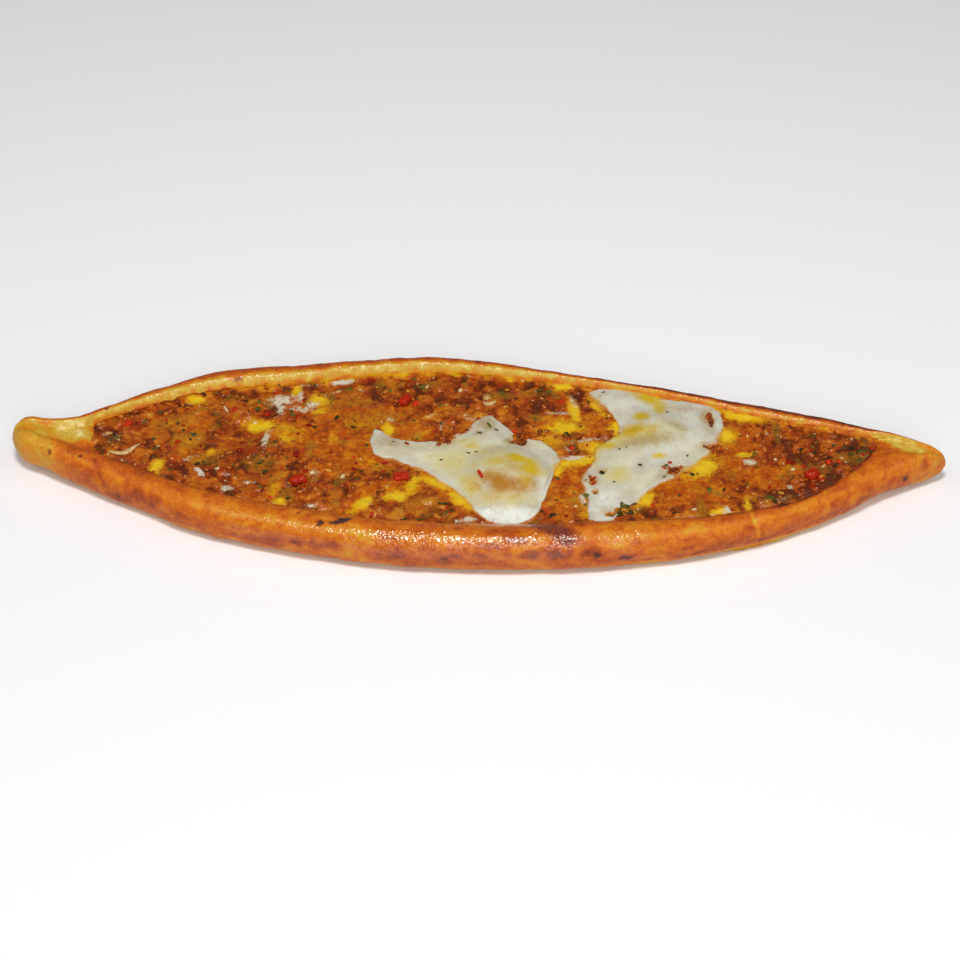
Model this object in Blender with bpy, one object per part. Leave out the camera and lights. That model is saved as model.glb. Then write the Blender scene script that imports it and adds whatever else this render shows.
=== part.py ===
"""A turkish pide: a long boat of baked dough, with rolled rims and pinched ends, filled with
minced meat and topped with two baked eggs and a few large dice of red pepper.

Metres, +Z up. The boat lies along X on its flat underside, and the origin is at the middle of
its box, on the surface it rests on. Sizes below are in millimetres, and MM turns them into metres.
"""

import math

import bmesh
import bpy

MM = 0.001

# The boat. The two edges are the outermost line of each rim, seen from above.
LENGTH = 435
NOSE = 11  # how far the rounding of each end reaches along X
BASE = 5  # thickness of the dough under the filling
BACK_EDGE = [
    (-218, 14), (-205, 15), (-190, 17.5), (-172, 30), (-150, 43), (-127, 54), (-85, 60),
    (-30, 66.5), (0, 65), (45, 55.5), (90, 46.5), (130, 37), (165, 28), (188, 18.5),
    (200, 13), (210, 9), (218, 7),
]
FRONT_EDGE = [
    (-218, 0), (-212, -3), (-205, -6.5), (-197, -10.5), (-185, -17), (-158, -30.5),
    (-128, -45.5), (-93, -55.5), (-43, -64.5), (10, -66.7), (60, -63), (100, -55.5),
    (137, -42.5), (163, -29), (175, -22), (188, -13.5), (199, -7.5), (209, -2), (218, 1),
]
BACK_RIM = [
    (-218, 8), (-203, 9), (-185, 10), (-165, 12), (-125, 16), (-90, 15.5), (-50, 13.5),
    (0, 12.5), (30, 10.5), (55, 9), (90, 9.5), (120, 11.5), (150, 12), (190, 9), (218, 4),
]
FRONT_RIM = [
    (-218, 12), (-203, 12), (-185, 15), (-150, 19), (0, 20), (60, 19.5), (90, 17.5),
    (120, 14.5), (150, 12.8), (165, 17), (176, 22.5), (185, 27), (194, 20), (203, 11), (218, 4),
]
BACK_HEIGHT = [
    (-218, 17), (-190, 18.5), (-120, 20), (-40, 20), (20, 19.5), (90, 18.5), (150, 18),
    (190, 17.5), (205, 16), (218, 14),
]
FRONT_HEIGHT = [
    (-218, 17), (-185, 18.5), (-120, 20), (0, 21), (60, 20.5), (110, 18.5), (145, 17),
    (190, 17), (205, 16), (218, 14),
]
POCKET_FLOOR = [
    (-218, 15), (-203, 16), (-193, 15.4), (-183, 14.6), (-175, 12), (-164, 7.5), (-152, BASE),
    (-140, BASE), (140, BASE), (156, BASE), (168, 7.5), (178, 11.5), (186, 14.2), (200, 15),
    (218, 12.5),
]
LEAST_POCKET = 2  # width of the fold where the two rims meet at an end
END_LIFT = (4, 3)  # how far the left and the right end curl up off the table
LIFT_FROM = 150
ROLL_OUTSIDE = 2.4  # exponents of a rim's rounded outline: 2 is a round roll, more is squarer
ROLL_INSIDE = 1.9
FOOT_ANGLE = 248  # where the roll turns into the flat underside, in degrees
END_FOOT_ANGLE = 258
CREASE = 1.2  # how deep a crease parts the base from the front rim, towards the right end

# The filling
FILL_ENDS = (-180, 186)
FILL_LEVEL = 16
FILL_RELIEF = 0.7
CLEARANCE = 0.4  # between pieces that touch

# Each egg: the two edges of its white, which run along X for the left one and along Y for the
# right one, the middle and half-widths of the level bed under it, and its yolk
EGG_LEFT = {
    "along": "x",
    "low_edge": [
        (-51, 7), (-47, -4), (-34, -9), (-21, -17), (-12, -25), (-1, -39), (8, -47), (19, -47.5),
        (27, -40), (33, -20), (37, -5),
    ],
    "high_edge": [
        (-51, 7), (-49, 12.5), (-42, 8), (-28, 5), (-14, 8.5), (-5, 16), (2, 24), (10, 19),
        (18, 10), (28, 7), (33, 3), (37, -5),
    ],
    "bed": (-6, -11, 50, 42),
    "yolk": (13, -17),
    "yolk_radius": 16,
    "yolk_height": 6.5,
}
EGG_RIGHT = {
    "along": "y",
    "low_edge": [
        (-43, 57), (-37, 51), (-25, 48), (-12, 44.5), (-3, 49), (6, 60), (14, 66), (21, 66),
        (31, 59), (37, 53), (42.5, 56),
    ],
    "high_edge": [
        (-43, 57), (-39, 62), (-32, 72), (-19, 84), (-7, 99), (4, 108), (16, 113), (28, 113),
        (33, 107), (37, 86), (42.5, 56),
    ],
    "bed": (78, 0, 40, 48),
    "yolk": (83.5, 12),
    "yolk_radius": 14,
    "yolk_height": 5,
}
WHITE_EDGE = 0.7
WHITE_MIDDLE = 2.2
COLLAR_REACH = 1.7  # the white rises round a yolk out to this many yolk radii
COLLAR_HEIGHT = 0.62  # of the yolk's height

# Large dice of red pepper: place, length, width, height, and turn in degrees
PEPPERS = [
    (-82, -23, 9.0, 6.0, 3.2, 20),
    (-36, 34, 8.0, 6.0, 3.2, 65),
    (-35, -19, 9.0, 6.5, 3.0, 10),
    (153, -13, 8.0, 6.5, 3.2, 40),
]
PEPPER_ROUNDING = 1.1

# How finely each solid is faceted
RIM_POINTS = 12
FLAT_POINTS = 5
BOAT_STATIONS = 68
FILL_TOP_POINTS = 13
WHITE_STATIONS = 28
WHITE_TOP_POINTS = 15
YOLK_SEGMENTS = 24


def through(points, x):
    """The height at x of the smooth curve through these points: a cubic between each two."""
    if x <= points[0][0]:
        return points[0][1]
    if x >= points[-1][0]:
        return points[-1][1]
    i = next(k for k in range(len(points) - 1) if points[k + 1][0] >= x)
    slopes = []
    for k in (i, i + 1):
        before, after = points[max(k - 1, 0)], points[min(k + 1, len(points) - 1)]
        slopes.append((after[1] - before[1]) / (after[0] - before[0]))
    (x0, y0), (x1, y1) = points[i], points[i + 1]
    width = x1 - x0
    t = (x - x0) / width
    rise = y0 * (1 - t) ** 2 * (1 + 2 * t) + y1 * t * t * (3 - 2 * t)
    return rise + width * (slopes[0] * t * (1 - t) ** 2 - slopes[1] * t * t * (1 - t))


def smooth_step(low, high, x):
    t = min(max((x - low) / (high - low), 0), 1)
    return t * t * (3 - 2 * t)


def power(value, exponent):
    """The power of the size, with the sign kept."""
    return math.copysign(abs(value) ** exponent, value)


def end_share(x):
    """0 over the flat middle of the boat, rising to 1 at its ends."""
    return smooth_step(LIFT_FROM, LENGTH / 2, abs(x)) ** 1.5


def end_lift(x):
    return END_LIFT[x > 0] * end_share(x)


def pocket(x):
    """(front, back) edges of the pocket between the two rims."""
    front = through(FRONT_EDGE, x) + through(FRONT_RIM, x)
    back = through(BACK_EDGE, x) - through(BACK_RIM, x)
    middle, half = (front + back) / 2, max((back - front) / 2, LEAST_POCKET / 2)
    return middle - half, middle + half


def pocket_floor(x):
    return through(POCKET_FLOOR, x)


def stations(start, end, count):
    """Places from one end to the other, without the ends, and closer together towards them."""
    found = []
    for i in range(1, count):
        even, rounded = 2 * i / count - 1, -math.cos(math.pi * i / count)
        found.append((start + end) / 2 + (end - start) / 2 * (0.3 * even + 0.7 * rounded))
    return found


def rim_points(edge, inner, height, floor, foot, crease):
    """One rim's outline, from its foot over the roll to the pocket's corner, as (y, z)."""
    side = 1 if edge > inner else -1
    width = abs(edge - inner)
    lowest_inside = max(0.5 * height, floor + CLEARANCE)
    last = math.degrees(math.asin(power(2 * lowest_inside / height - 1, ROLL_INSIDE / 2)))
    outside = round(RIM_POINTS * 0.6)
    points = []
    for i in range(RIM_POINTS):
        if i <= outside:
            angle, roll = math.radians(foot + (90 - foot) * i / outside), ROLL_OUTSIDE
        else:
            inside = (i - outside) / (RIM_POINTS - 1 - outside)
            angle, roll = math.radians(90 + (last - 90) * inside), ROLL_INSIDE
        across = 0.5 + 0.5 * power(math.cos(angle), 2 / roll)
        up = 0.5 + 0.5 * power(math.sin(angle), 2 / roll)
        points.append([edge - side * across * width, up * height])
    points[0][1] = 0
    points[0][0] += side * crease
    points[1][0] -= side * crease
    points.append([points[-1][0] - side * 0.5, floor])
    return points


def run_between(start, end, count):
    """Evenly spaced points strictly between two others."""
    return [
        [a + (b - a) * (i + 1) / (count + 1) for a, b in zip(start, end)]
        for i in range(count)
    ]


def boat_section(x):
    """The boat's outline across X, as a closed ring of (y, z)."""
    front_edge, back_edge = through(FRONT_EDGE, x), through(BACK_EDGE, x)
    front_inner, back_inner = pocket(x)
    floor = pocket_floor(x)
    foot = FOOT_ANGLE + (END_FOOT_ANGLE - FOOT_ANGLE) * end_share(x)
    crease = CREASE * smooth_step(60, 110, x) * smooth_step(205, 180, x)
    front = rim_points(front_edge, front_inner, through(FRONT_HEIGHT, x), floor, foot, crease)
    back = rim_points(back_edge, back_inner, through(BACK_HEIGHT, x), floor, foot, 0)[::-1]
    ring = front + run_between(front[-1], back[0], FLAT_POINTS)
    ring += back + run_between(back[-1], front[0], FLAT_POINTS)
    nose = math.sqrt(1 - max(1 - (LENGTH / 2 - abs(x)) / NOSE, 0) ** 2)
    middle = boat_middle(x)
    lift = end_lift(x)
    return [
        [m + (p - m) * nose + up for p, m, up in zip(point, middle, (0, lift))] for point in ring
    ]


def boat_middle(x):
    return [(through(FRONT_EDGE, x) + through(BACK_EDGE, x)) / 2, through(BACK_HEIGHT, x) / 2]


def material(name, colour, roughness):
    made = bpy.data.materials.new(name)
    made.use_nodes = True
    shader = made.node_tree.nodes["Principled BSDF"]
    shader.inputs["Base Color"].default_value = (*colour, 1)
    shader.inputs["Roughness"].default_value = roughness
    shader.inputs["Metallic"].default_value = 0
    return made


def add_object(name, bm, finish, collection):
    mesh = bpy.data.meshes.new(name)
    if bm.calc_volume(signed=True) < 0:
        bmesh.ops.reverse_faces(bm, faces=bm.faces)
    bm.to_mesh(mesh)
    bm.free()
    mesh.materials.append(finish)
    mesh.shade_smooth()
    made = bpy.data.objects.new(name, mesh)
    collection.objects.link(made)
    return made


def loft(rings, start, end):
    """A closed skin over rings of (x, y, z) in millimetres, drawn to a point at each end.

    It is a sphere whose poles are the two ends, with each of its own rings moved to one of these.
    """
    bm = bmesh.new()
    segments = len(rings[0])
    bmesh.ops.create_uvsphere(bm, u_segments=segments, v_segments=len(rings) + 1, radius=1)
    for vertex in bm.verts:
        row = round(math.acos(max(-1, min(1, vertex.co.z))) / math.pi * (len(rings) + 1))
        column = round(math.atan2(vertex.co.y, vertex.co.x) / math.tau * segments) % segments
        if row == 0:
            place = start
        elif row == len(rings) + 1:
            place = end
        else:
            place = rings[row - 1][column]
        vertex.co = [p * MM for p in place]
    return bm


def make_crust(finish, collection):
    half = LENGTH / 2
    rings = [
        [(x, y, z) for y, z in boat_section(x)] for x in stations(-half, half, BOAT_STATIONS)
    ]
    ends = []
    for x in (-half, half):
        y, z = boat_middle(x)
        ends.append((x, y, z + end_lift(x)))
    return add_object("crust", loft(rings, *ends), finish, collection)


def fill_top(x, y):
    """The filling's uneven top, which is level where an egg lies on it."""
    waves = math.sin(0.19 * x + 1.3 * math.sin(0.11 * y)) + math.sin(0.23 * y - 0.13 * x + 0.8)
    waves += 0.6 * math.cos(0.31 * x + 0.27 * y)
    for egg in (EGG_LEFT, EGG_RIGHT):
        cx, cy, along, across = egg["bed"]
        waves *= smooth_step(1, 1.3, math.hypot((x - cx) / along, (y - cy) / across))
    return FILL_LEVEL + FILL_RELIEF / 2 * waves


def slab_ring(places, top, low):
    """A ring over places of (x, y) in a row: along them at the top's height and back underneath."""
    over = [(x, y, max(top(x, y), low + 0.4)) for x, y in places]
    return over + [(x, y, low) for x, y in reversed(places)]


def make_filling(finish, collection):
    rings = []
    for x in stations(-LENGTH / 2, LENGTH / 2, BOAT_STATIONS):
        if not FILL_ENDS[0] < x < FILL_ENDS[1]:
            continue
        front, back = pocket(x)
        front, back = (x, front + 0.5 + CLEARANCE), (x, back - 0.5 - CLEARANCE)
        places = [front, *run_between(front, back, FILL_TOP_POINTS - 2), back]
        lift = end_lift(x)
        low = pocket_floor(x) + lift + CLEARANCE
        rings.append(slab_ring(places, lambda x, y: fill_top(x, y) + lift, low))
    ends = []
    for x in FILL_ENDS:
        ends.append((x, sum(pocket(x)) / 2, pocket_floor(x) + end_lift(x) + 2 * CLEARANCE))
    return add_object("filling", loft(rings, *ends), finish, collection)


def white_places(egg, at):
    """Places in a row across an egg's white, from its low edge to its high one."""
    low, high = through(egg["low_edge"], at), through(egg["high_edge"], at)
    row = [(at, low), *run_between((at, low), (at, high), WHITE_TOP_POINTS - 2), (at, high)]
    return row if egg["along"] == "x" else [(x, y) for y, x in row]


def make_white(name, egg, finish, collection, cutters):
    """The white of an egg: a thin patch that rises in a collar round its yolk."""
    bottom = FILL_LEVEL + CLEARANCE
    (start, _), (end, _) = egg["low_edge"][0], egg["low_edge"][-1]
    rings = []
    for at in stations(start, end, WHITE_STATIONS):
        places = white_places(egg, at)
        middle, half = places[WHITE_TOP_POINTS // 2], math.dist(places[0], places[-1]) / 2

        def top(x, y):
            thin = (math.dist((x, y), middle) / max(half, 4)) ** 2
            thick = WHITE_EDGE + (WHITE_MIDDLE - WHITE_EDGE) * (1 - thin)
            reach = math.dist((x, y), egg["yolk"]) / egg["yolk_radius"]
            collar = smooth_step(COLLAR_REACH, 1.05, reach) * COLLAR_HEIGHT * egg["yolk_height"]
            return bottom + max(thick, collar)

        rings.append(slab_ring(places, top, bottom))
    ends = [(*white_places(egg, at)[0], bottom + 0.2) for at in (start, end)]
    made = add_object(name, loft(rings, *ends), finish, collection)
    cut = made.modifiers.new("room_for_yolk", "BOOLEAN")
    cut.operation = "DIFFERENCE"
    cut.solver = "MANIFOLD"
    cut.object = make_yolk(name + "_cutter", egg, finish, cutters, CLEARANCE, 3)
    cut.object.hide_render = True
    cut.object.display_type = "WIRE"
    return made


def make_yolk(name, egg, finish, collection, grow=0.0, below=0.0):
    """A yolk: a dome with a rounded rim on a flat underside. It can be grown, to cut its own room."""
    radius, height = egg["yolk_radius"] + grow, egg["yolk_height"] + grow
    bm = bmesh.new()
    bmesh.ops.create_uvsphere(bm, u_segments=YOLK_SEGMENTS, v_segments=10, radius=1)
    for vertex in bm.verts:
        x, y, z = vertex.co
        up = height * z if z > 0 else -below
        if z <= 0 and below == 0:
            x, y = x * 0.94, y * 0.94
        vertex.co = (
            (egg["yolk"][0] + radius * x) * MM,
            (egg["yolk"][1] + radius * y) * MM,
            (FILL_LEVEL + CLEARANCE + up) * MM,
        )
    return add_object(name, bm, finish, collection)


def make_pepper(name, place, finish, collection):
    """One dice of pepper: a small block with rounded edges, narrower on top."""
    x, y, length, width, height, turn = place
    bm = bmesh.new()
    bmesh.ops.create_cube(bm, size=1)
    for vertex in bm.verts:
        taper = 0.86 if vertex.co.z > 0 else 1
        vertex.co.x *= length * taper * MM
        vertex.co.y *= width * taper * MM
        vertex.co.z *= height * MM
    bmesh.ops.bevel(
        bm, geom=bm.edges[:], offset=PEPPER_ROUNDING * MM, affect="EDGES", segments=2,
        profile=0.5, material=-1,
    )
    made = add_object(name, bm, finish, collection)
    ground = max(
        fill_top(x + length / 2 * math.cos(a), y + length / 2 * math.sin(a))
        for a in (0, 1.5, 3, 4.5, 6)
    )
    made.location = (x * MM, y * MM, (max(ground, fill_top(x, y)) + CLEARANCE + height / 2) * MM)
    made.rotation_euler = (0, 0, math.radians(turn))
    return made


def new_collection(name):
    made = bpy.data.collections.new(name)
    bpy.context.scene.collection.children.link(made)
    return made


def main():
    for old in list(bpy.data.objects):
        bpy.data.objects.remove(old)
    pide, cutters = new_collection("turkish_pide"), new_collection("cutters")
    cutters.hide_render = True
    dough = material("baked_dough", (0.62, 0.27, 0.05), 0.4)
    meat = material("minced_meat", (0.45, 0.15, 0.035), 0.35)
    white = material("egg_white", (0.80, 0.78, 0.68), 0.3)
    yolk = material("egg_yolk", (0.85, 0.50, 0.05), 0.3)
    pepper = material("red_pepper", (0.60, 0.04, 0.02), 0.3)
    make_crust(dough, pide)
    make_filling(meat, pide)
    for side, egg in (("left", EGG_LEFT), ("right", EGG_RIGHT)):
        make_white(f"egg_white_{side}", egg, white, pide, cutters)
        make_yolk(f"egg_yolk_{side}", egg, yolk, pide)
    for number, place in enumerate(PEPPERS, 1):
        make_pepper(f"pepper_{number}", place, pepper, pide)


main()
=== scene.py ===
"""The look of a baked turkish pide: its dough, its mince filling, two eggs, herbs and pepper.

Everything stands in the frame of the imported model, +Z up. Mesh coordinates are in metres, and
the sizes and places below are in millimetres, which MM turns into metres.

A patch is (x, y, half length, half width, turn, strength), as seen from above. A mark on the
dough also has a height: (x, y, z, half length, half width, turn, strength). A bit is (x, y,
length, width, turn). Turns are about Z, in degrees.
"""

import math
import random
from types import SimpleNamespace

import bmesh
import bpy
import numpy as np
from mathutils import Matrix, Vector, noise
from mathutils.bvhtree import BVHTree


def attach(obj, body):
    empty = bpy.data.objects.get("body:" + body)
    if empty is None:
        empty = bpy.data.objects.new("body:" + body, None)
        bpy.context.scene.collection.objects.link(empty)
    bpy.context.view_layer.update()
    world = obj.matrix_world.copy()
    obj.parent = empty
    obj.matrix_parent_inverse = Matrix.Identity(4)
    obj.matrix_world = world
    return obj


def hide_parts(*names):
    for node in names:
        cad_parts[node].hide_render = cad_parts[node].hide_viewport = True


MM = 0.001

# The camera and the light: angles in degrees, distances and sizes in metres
CAMERA_ELEVATION = 43
CAMERA_AZIMUTH = 1.5
CAMERA_DISTANCE = 1.0
CAMERA_LENS = 80
CAMERA_SHIFT = (0.001042, -0.004167)  # in widths of the picture
SOFTBOXES = [  # (name, azimuth, elevation, distance, size, power)
    ("key", -4, 75, 1.5, 0.34, 12.0), ("front", 10, 34, 1.6, 1.0, 8.0),
    ("left", -75, 50, 1.5, 0.8, 2.2), ("right", 80, 50, 1.5, 0.8, 2.2),
]
SKY_STRENGTH = 0.14
FLOOR_SIZE = 3

# The dough: grooves along lines of (x, y, z), each with its width
FOLD = 1.1, [(-197, 2.5, 17.4), (-190.6, 0.8, 15.6), (-181.4, -0.8, 12.2), (-176, -4, 14)]
CREASE = 1.3, [
    (-177, -13.5, 19.6), (-174.6, -18.4, 18.5), (-173, -21.8, 15.5), (-171.4, -23.6, 11.6),
]
SEAM = 0.8, [
    (121, -36, 16.3), (123.4, -40.9, 17.9), (124.2, -43.9, 17.1), (125.6, -45.9, 14.1),
    (126.6, -46.5, 10),
]
BASE_GROOVE = 1.3, [
    (75, -60.5, 6.5), (91, -57.2, 7), (109, -52.4, 6.8), (127.6, -46, 7), (146, -38, 7),
    (165, -27.5, 7), (178, -19, 7), (190, -11.5, 5), (200, -6, 6), (207, -3, 8),
]
NOSE_PIT = (206.1, -2.4, 1.5)  # (x, y, radius)
SCORCHES = [
    (-69.3, -53.6, 20, 1.7, 1.9, -50, 0.95), (-63.5, -53.6, 20.2, 3.6, 1.0, 8, 0.9),
    (-59, -52.2, 20.3, 4.0, 1.8, 14, 0.95), (-79.6, -47.5, 20.4, 1.2, 1.0, 30, 0.8),
    (31, -52.4, 20.3, 9, 3.5, 0, 0.77), (35, -56, 20.6, 10, 4.3, -15, 0.77),
    (39, -59.4, 18.8, 8, 4.0, -25, 0.75), (17, -61.5, 18.6, 9, 2.2, -8, 0.6),
    (6, -63.5, 17, 8, 1.8, -6, 0.5), (22, -64.5, 15, 8, 1.4, -6, 0.5),
    (-38, -61, 19, 5, 1.4, 5, 0.4), (66.9, -61.9, 9.6, 3.2, 2, 10, 0.85),
    (196.9, -8.4, 10.6, 1.7, 1.8, 30, 0.9), (178, -20, 9.5, 4.5, 1.3, 32, 0.6),
    (160, -30, 8.6, 10, 1.2, 28, 0.5), (-198.4, -8.4, 18.2, 1.1, 1.6, 0, 0.75),
    (-183.2, -12.4, 19.6, 1.5, 1.0, 30, 0.85), (-189, -10, 19.2, 0.9, 0.9, 0, 0.6),
    (-116.7, 44.8, 18.9, 2.4, 1.5, 20, 0.6), (-139.9, 44.5, 19.7, 1.4, 1.0, 0, 0.6),
    (-176, 21.5, 19.4, 1.3, 0.9, 20, 0.6), (206.1, -2.4, 16.7, 1.3, 1.0, 0, 0.5),
    (-97, -54.4, 9.5, 7, 2.2, -6, 0.35), (-92, -55.5, 13, 9, 2.5, -6, 0.25),
    (-130, -47, 7.5, 8, 2, -20, 0.35),
]
BLUSHES = [
    (-97, -54.4, 9.5, 10, 3, -6, 0.8), (-112, -50, 11, 6, 3, -15, 0.6),
    (-76, -58.8, 12, 7, 2.5, -6, 0.8), (-65, -61, 13, 6, 2, 0, 0.6),
    (-130, -47, 7.5, 8, 2.5, -20, 0.7), (-2, -66, 12, 8, 2.5, 0, 0.7), (24, -65, 14, 8, 2.5, 0, 1),
    (37, -64, 15, 8, 3, 0, 1), (50, -63, 14, 7, 2.5, 5, 0.8), (-30, -66, 12, 9, 2.5, 0, 0.6),
    (-50, -65, 9, 10, 2, 0, 0.6), (8, -66, 9, 9, 2.5, 0, 0.6), (60, -63.5, 8, 8, 2, 0, 0.6),
    (-20, -57, 21, 14, 2.5, 0, 0.5), (12, -58, 21, 9, 2.5, 0, 0.7), (88, -59, 10, 7, 1.8, 8, 0.5),
    (104, -55, 9, 6, 1.8, 10, 0.5), (140, -40, 10, 7, 2, 25, 0.5), (-164, -27, 7, 7, 2.5, -25, 0.6),
    (-176, -16, 12, 5, 3, 60, 0.5), (-150, -33, 14, 9, 3, -25, 0.35), (45, -52, 20, 10, 2, 0, 0.5),
    (-45, -50, 19, 14, 2, 0, 0.4), (202, 2, 14, 3, 2, 0, 0.6), (190, -12, 12, 5, 2, 30, 0.5),
    (168, -22, 12, 6, 2.5, 30, 0.5),
]
GOLDEN_PATCHES = [
    (-100, -53, 22, 6, -12, 0.6), (-128, -44, 10, 6, -20, 0.5), (76, -50, 16, 4, 8, 0.9),
    (-56, -60, 10, 6, 0, 0.8), (70, -60, 14, 6, 8, 0.8), (60, -54, 12, 4, 5, 0.7),
    (-2, -63, 6, 3, 0, 0.6), (100, -52, 16, 5, 12, 0.5), (20, -66, 8, 3, 0, 0.6),
    (-80, -60, 6, 4, 0, 0.5), (150, -34, 12, 5, 25, 0.5),
]
GLOSSY_PATCHES = [
    (-14, -60, 46, 9, 0, 1.1), (30, -60, 16, 8, 0, 1), (-92, -52, 24, 7, -14, 0.55),
    (-70, -58, 10, 5, 0, 0.6), (66, -57, 10, 6, 8, 0.5), (-60, -52, 10, 4, 0, 0.6),
]
PALE_SLOPES = [(-189, 6, 10, 6, -10, 1), (196, 8, 10, 4, -35, 0.8)]
END_FLOORS = [(-184, 5, 7, 9, 0, 1), (188, 4, 7, 8, 0, 1)]  # where the pocket's floor rises
END_FILLET = 0.9  # and by how much
END_LIFT = (4, 3)  # how far the left and the right end curl up off the table
LIFT_FROM, LIFT_RUN = 150, 67.5  # from how far out, and over what length
EDGE_PLACES = np.linspace(-217, 217, 218)  # where the boat's two edges are read off
EDGE_STEP = 2  # from one of them to the next

# How far the rims are baked, from 0 pale to 1 charred, against how far their skin turns outwards,
# from -1 facing the filling to 1 facing away from it
BAKED_BACK = [
    (-1, 0.26), (-0.55, 0.2), (-0.38, 0.25), (-0.12, 0.5), (0.12, 0.72), (0.7, 0.84), (0.92, 0.6),
]
MORE_AT_RIGHT = [
    (-1, 0.12), (-0.4, 0.12), (0, 0.2), (0.2, 0.24), (0.5, 0.2), (0.75, 0.16), (0.92, 0),
]
BAKED_FRONT = [(-1, 0.62), (-0.2, 0.61), (0.25, 0.55), (0.55, 0.455), (0.8, 0.52), (1, 0.60)]
MOST_BAKED_BACK, MOST_BAKED_FRONT = 0.95, 0.72
KNOB_LEFT, KNOB_RIGHT, UNDERSIDE = 0.34, 0.38, 0.42
CHAR_FROM = 0.78  # the strength of a scorch from which it is charred
STAIN_AND_SHADE_TO = 182  # how far out the filling stains the pocket's walls, with painted shade where they meet it

# The filling
FILL_START, FILL_END = -181.5, 186  # the ends of its sheet, along X
FILL_COLUMNS, FILL_ROWS = 590, 158  # the sheet's faces, along and across
FILLING_LEVEL = 16  # about how high it stands
SOLID_ENDS = (-176, 184)  # the two ends of its solid
LEVEL_ENDS = (-174, 182)  # the filling's level is read off its solid between these
LEVEL_INSET = 2.6  # and this far inside the walls
WALL_LEVEL = 15.6  # the height at which the filling meets the dough
TUCK = 1.4  # how far its edge is tucked into the dough
UNDER_EGG = 0.55  # how far it is pressed down under an egg
START_ROUND, END_ROUND = 2.7, 1.2  # how its ends are rounded off towards the front
GRAIN, CLUMP = 2.9, 5.6  # the size of its grains, and of the clumps that they form
SMOOTH_PATCHES = [
    (-135, 15, 13, 8, 75, 1), (-92, 13, 20, 7, -5, 1), (-70, 3, 30, 12, -10, 0.75),
    (-58, 23, 22, 12, 0, 0.9), (-52, -2, 16, 7, 80, 1), (-32, 14, 15, 7, -8, 1),
    (-13, -26, 17, 4.5, -42, 1), (-66, -12, 17, 7, 0, 0.6), (42, -22, 22, 9, 82, 0.75),
    (93, -25, 20, 9, 8, 1), (119, 3, 22, 8, 82, 1), (131, -14, 12, 8, 10, 0.9),
    (-93, -28, 13, 4, 75, 1), (-52, -32, 13, 4, 50, 1), (34, 20, 13, 7, 30, 0.9),
    (57, 20, 10, 7, -20, 0.9), (-140, -2, 12, 8, 0, 0.55), (-112, 2, 12, 6, 0, 0.5),
    (108, -32, 10, 6, 0, 0.7), (-150, 16, 8, 6, 60, 0.5), (46, -6, 14, 5, 12, 1),
    (-34, -24, 10, 6, 60, 1), (60, -30, 3, 8, 0, 0.4), (30, 40, 12, 6, 0, 0.35),
    (150, 6, 16, 6, -10, 0.3),
]
YELLOW_PATCHES = [
    (-103, 15, 8, 4.2, -5, 1), (-91, 13, 10, 5, -15, 0.55), (-90, 6, 5, 2.6, -30, 0.7),
    (-148.5, -14.5, 3, 5, -12, 1), (-136, 32.5, 4.5, 2.6, 0, 1), (-124, -4, 4.5, 3, 30, 0.6),
    (-77, 34, 5, 4, 0, 0.95), (-88, 40, 2.5, 4, 0, 0.9), (-76, 26.5, 4, 2.4, 20, 0.75),
    (-43, 14, 2.6, 4, 20, 1.1), (-51, -36, 6, 3.4, 40, 1), (-56, -42, 3, 2, 30, 0.7),
    (-37, -31, 5.5, 3.6, 0, 0.95), (-30, -24, 7.5, 3.4, 75, 0.85), (-18, -22.5, 10, 2.8, -30, 0.9),
    (-7.5, -32.5, 9, 3.2, -50, 1), (40, 18, 9, 5, 15, 0.9), (44, 29, 8, 2.6, 100, 1),
    (38, 47, 5, 3, 0, 1), (46, -6, 11, 3.2, 16, 1), (55, 3.5, 7, 4.5, 10, 0.9),
    (36.5, -12, 3, 4.5, -20, 0.9), (64, 17, 3, 5, 20, 1), (82, -17, 4.2, 3, 35, 1),
    (75.5, -30, 4, 5.5, -30, 1), (103, -8, 9, 6, 45, 1), (116, 14, 4, 4.6, 0, 1.1),
    (124, 27, 11, 3.6, -14, 0.9), (83, 38, 9, 3.2, -72, 1), (110, -37.5, 6, 1.8, 8, 1),
    (123, 1, 4, 2, 10, 0.9), (122, -32, 2, 4, 0, 0.8), (-55, 18, 9, 4.5, 0, 0.4),
    (-89, -36, 3, 3, 40, 0.9), (-92, -29, 8, 2.4, 80, 0.5), (55, 32, 8, 2, -60, 0.8),
    (33, 8, 6, 5, 0, 0.6), (50, -40, 4, 6, 0, 0.55), (-46, -11, 9, 2.5, -30, 0.5),
    (-145, 17, 5, 4, 0, 0.35), (-136, 3, 4, 5, 0, 0.35), (143, -8, 5, 4, 0, 0.4),
]
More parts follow.
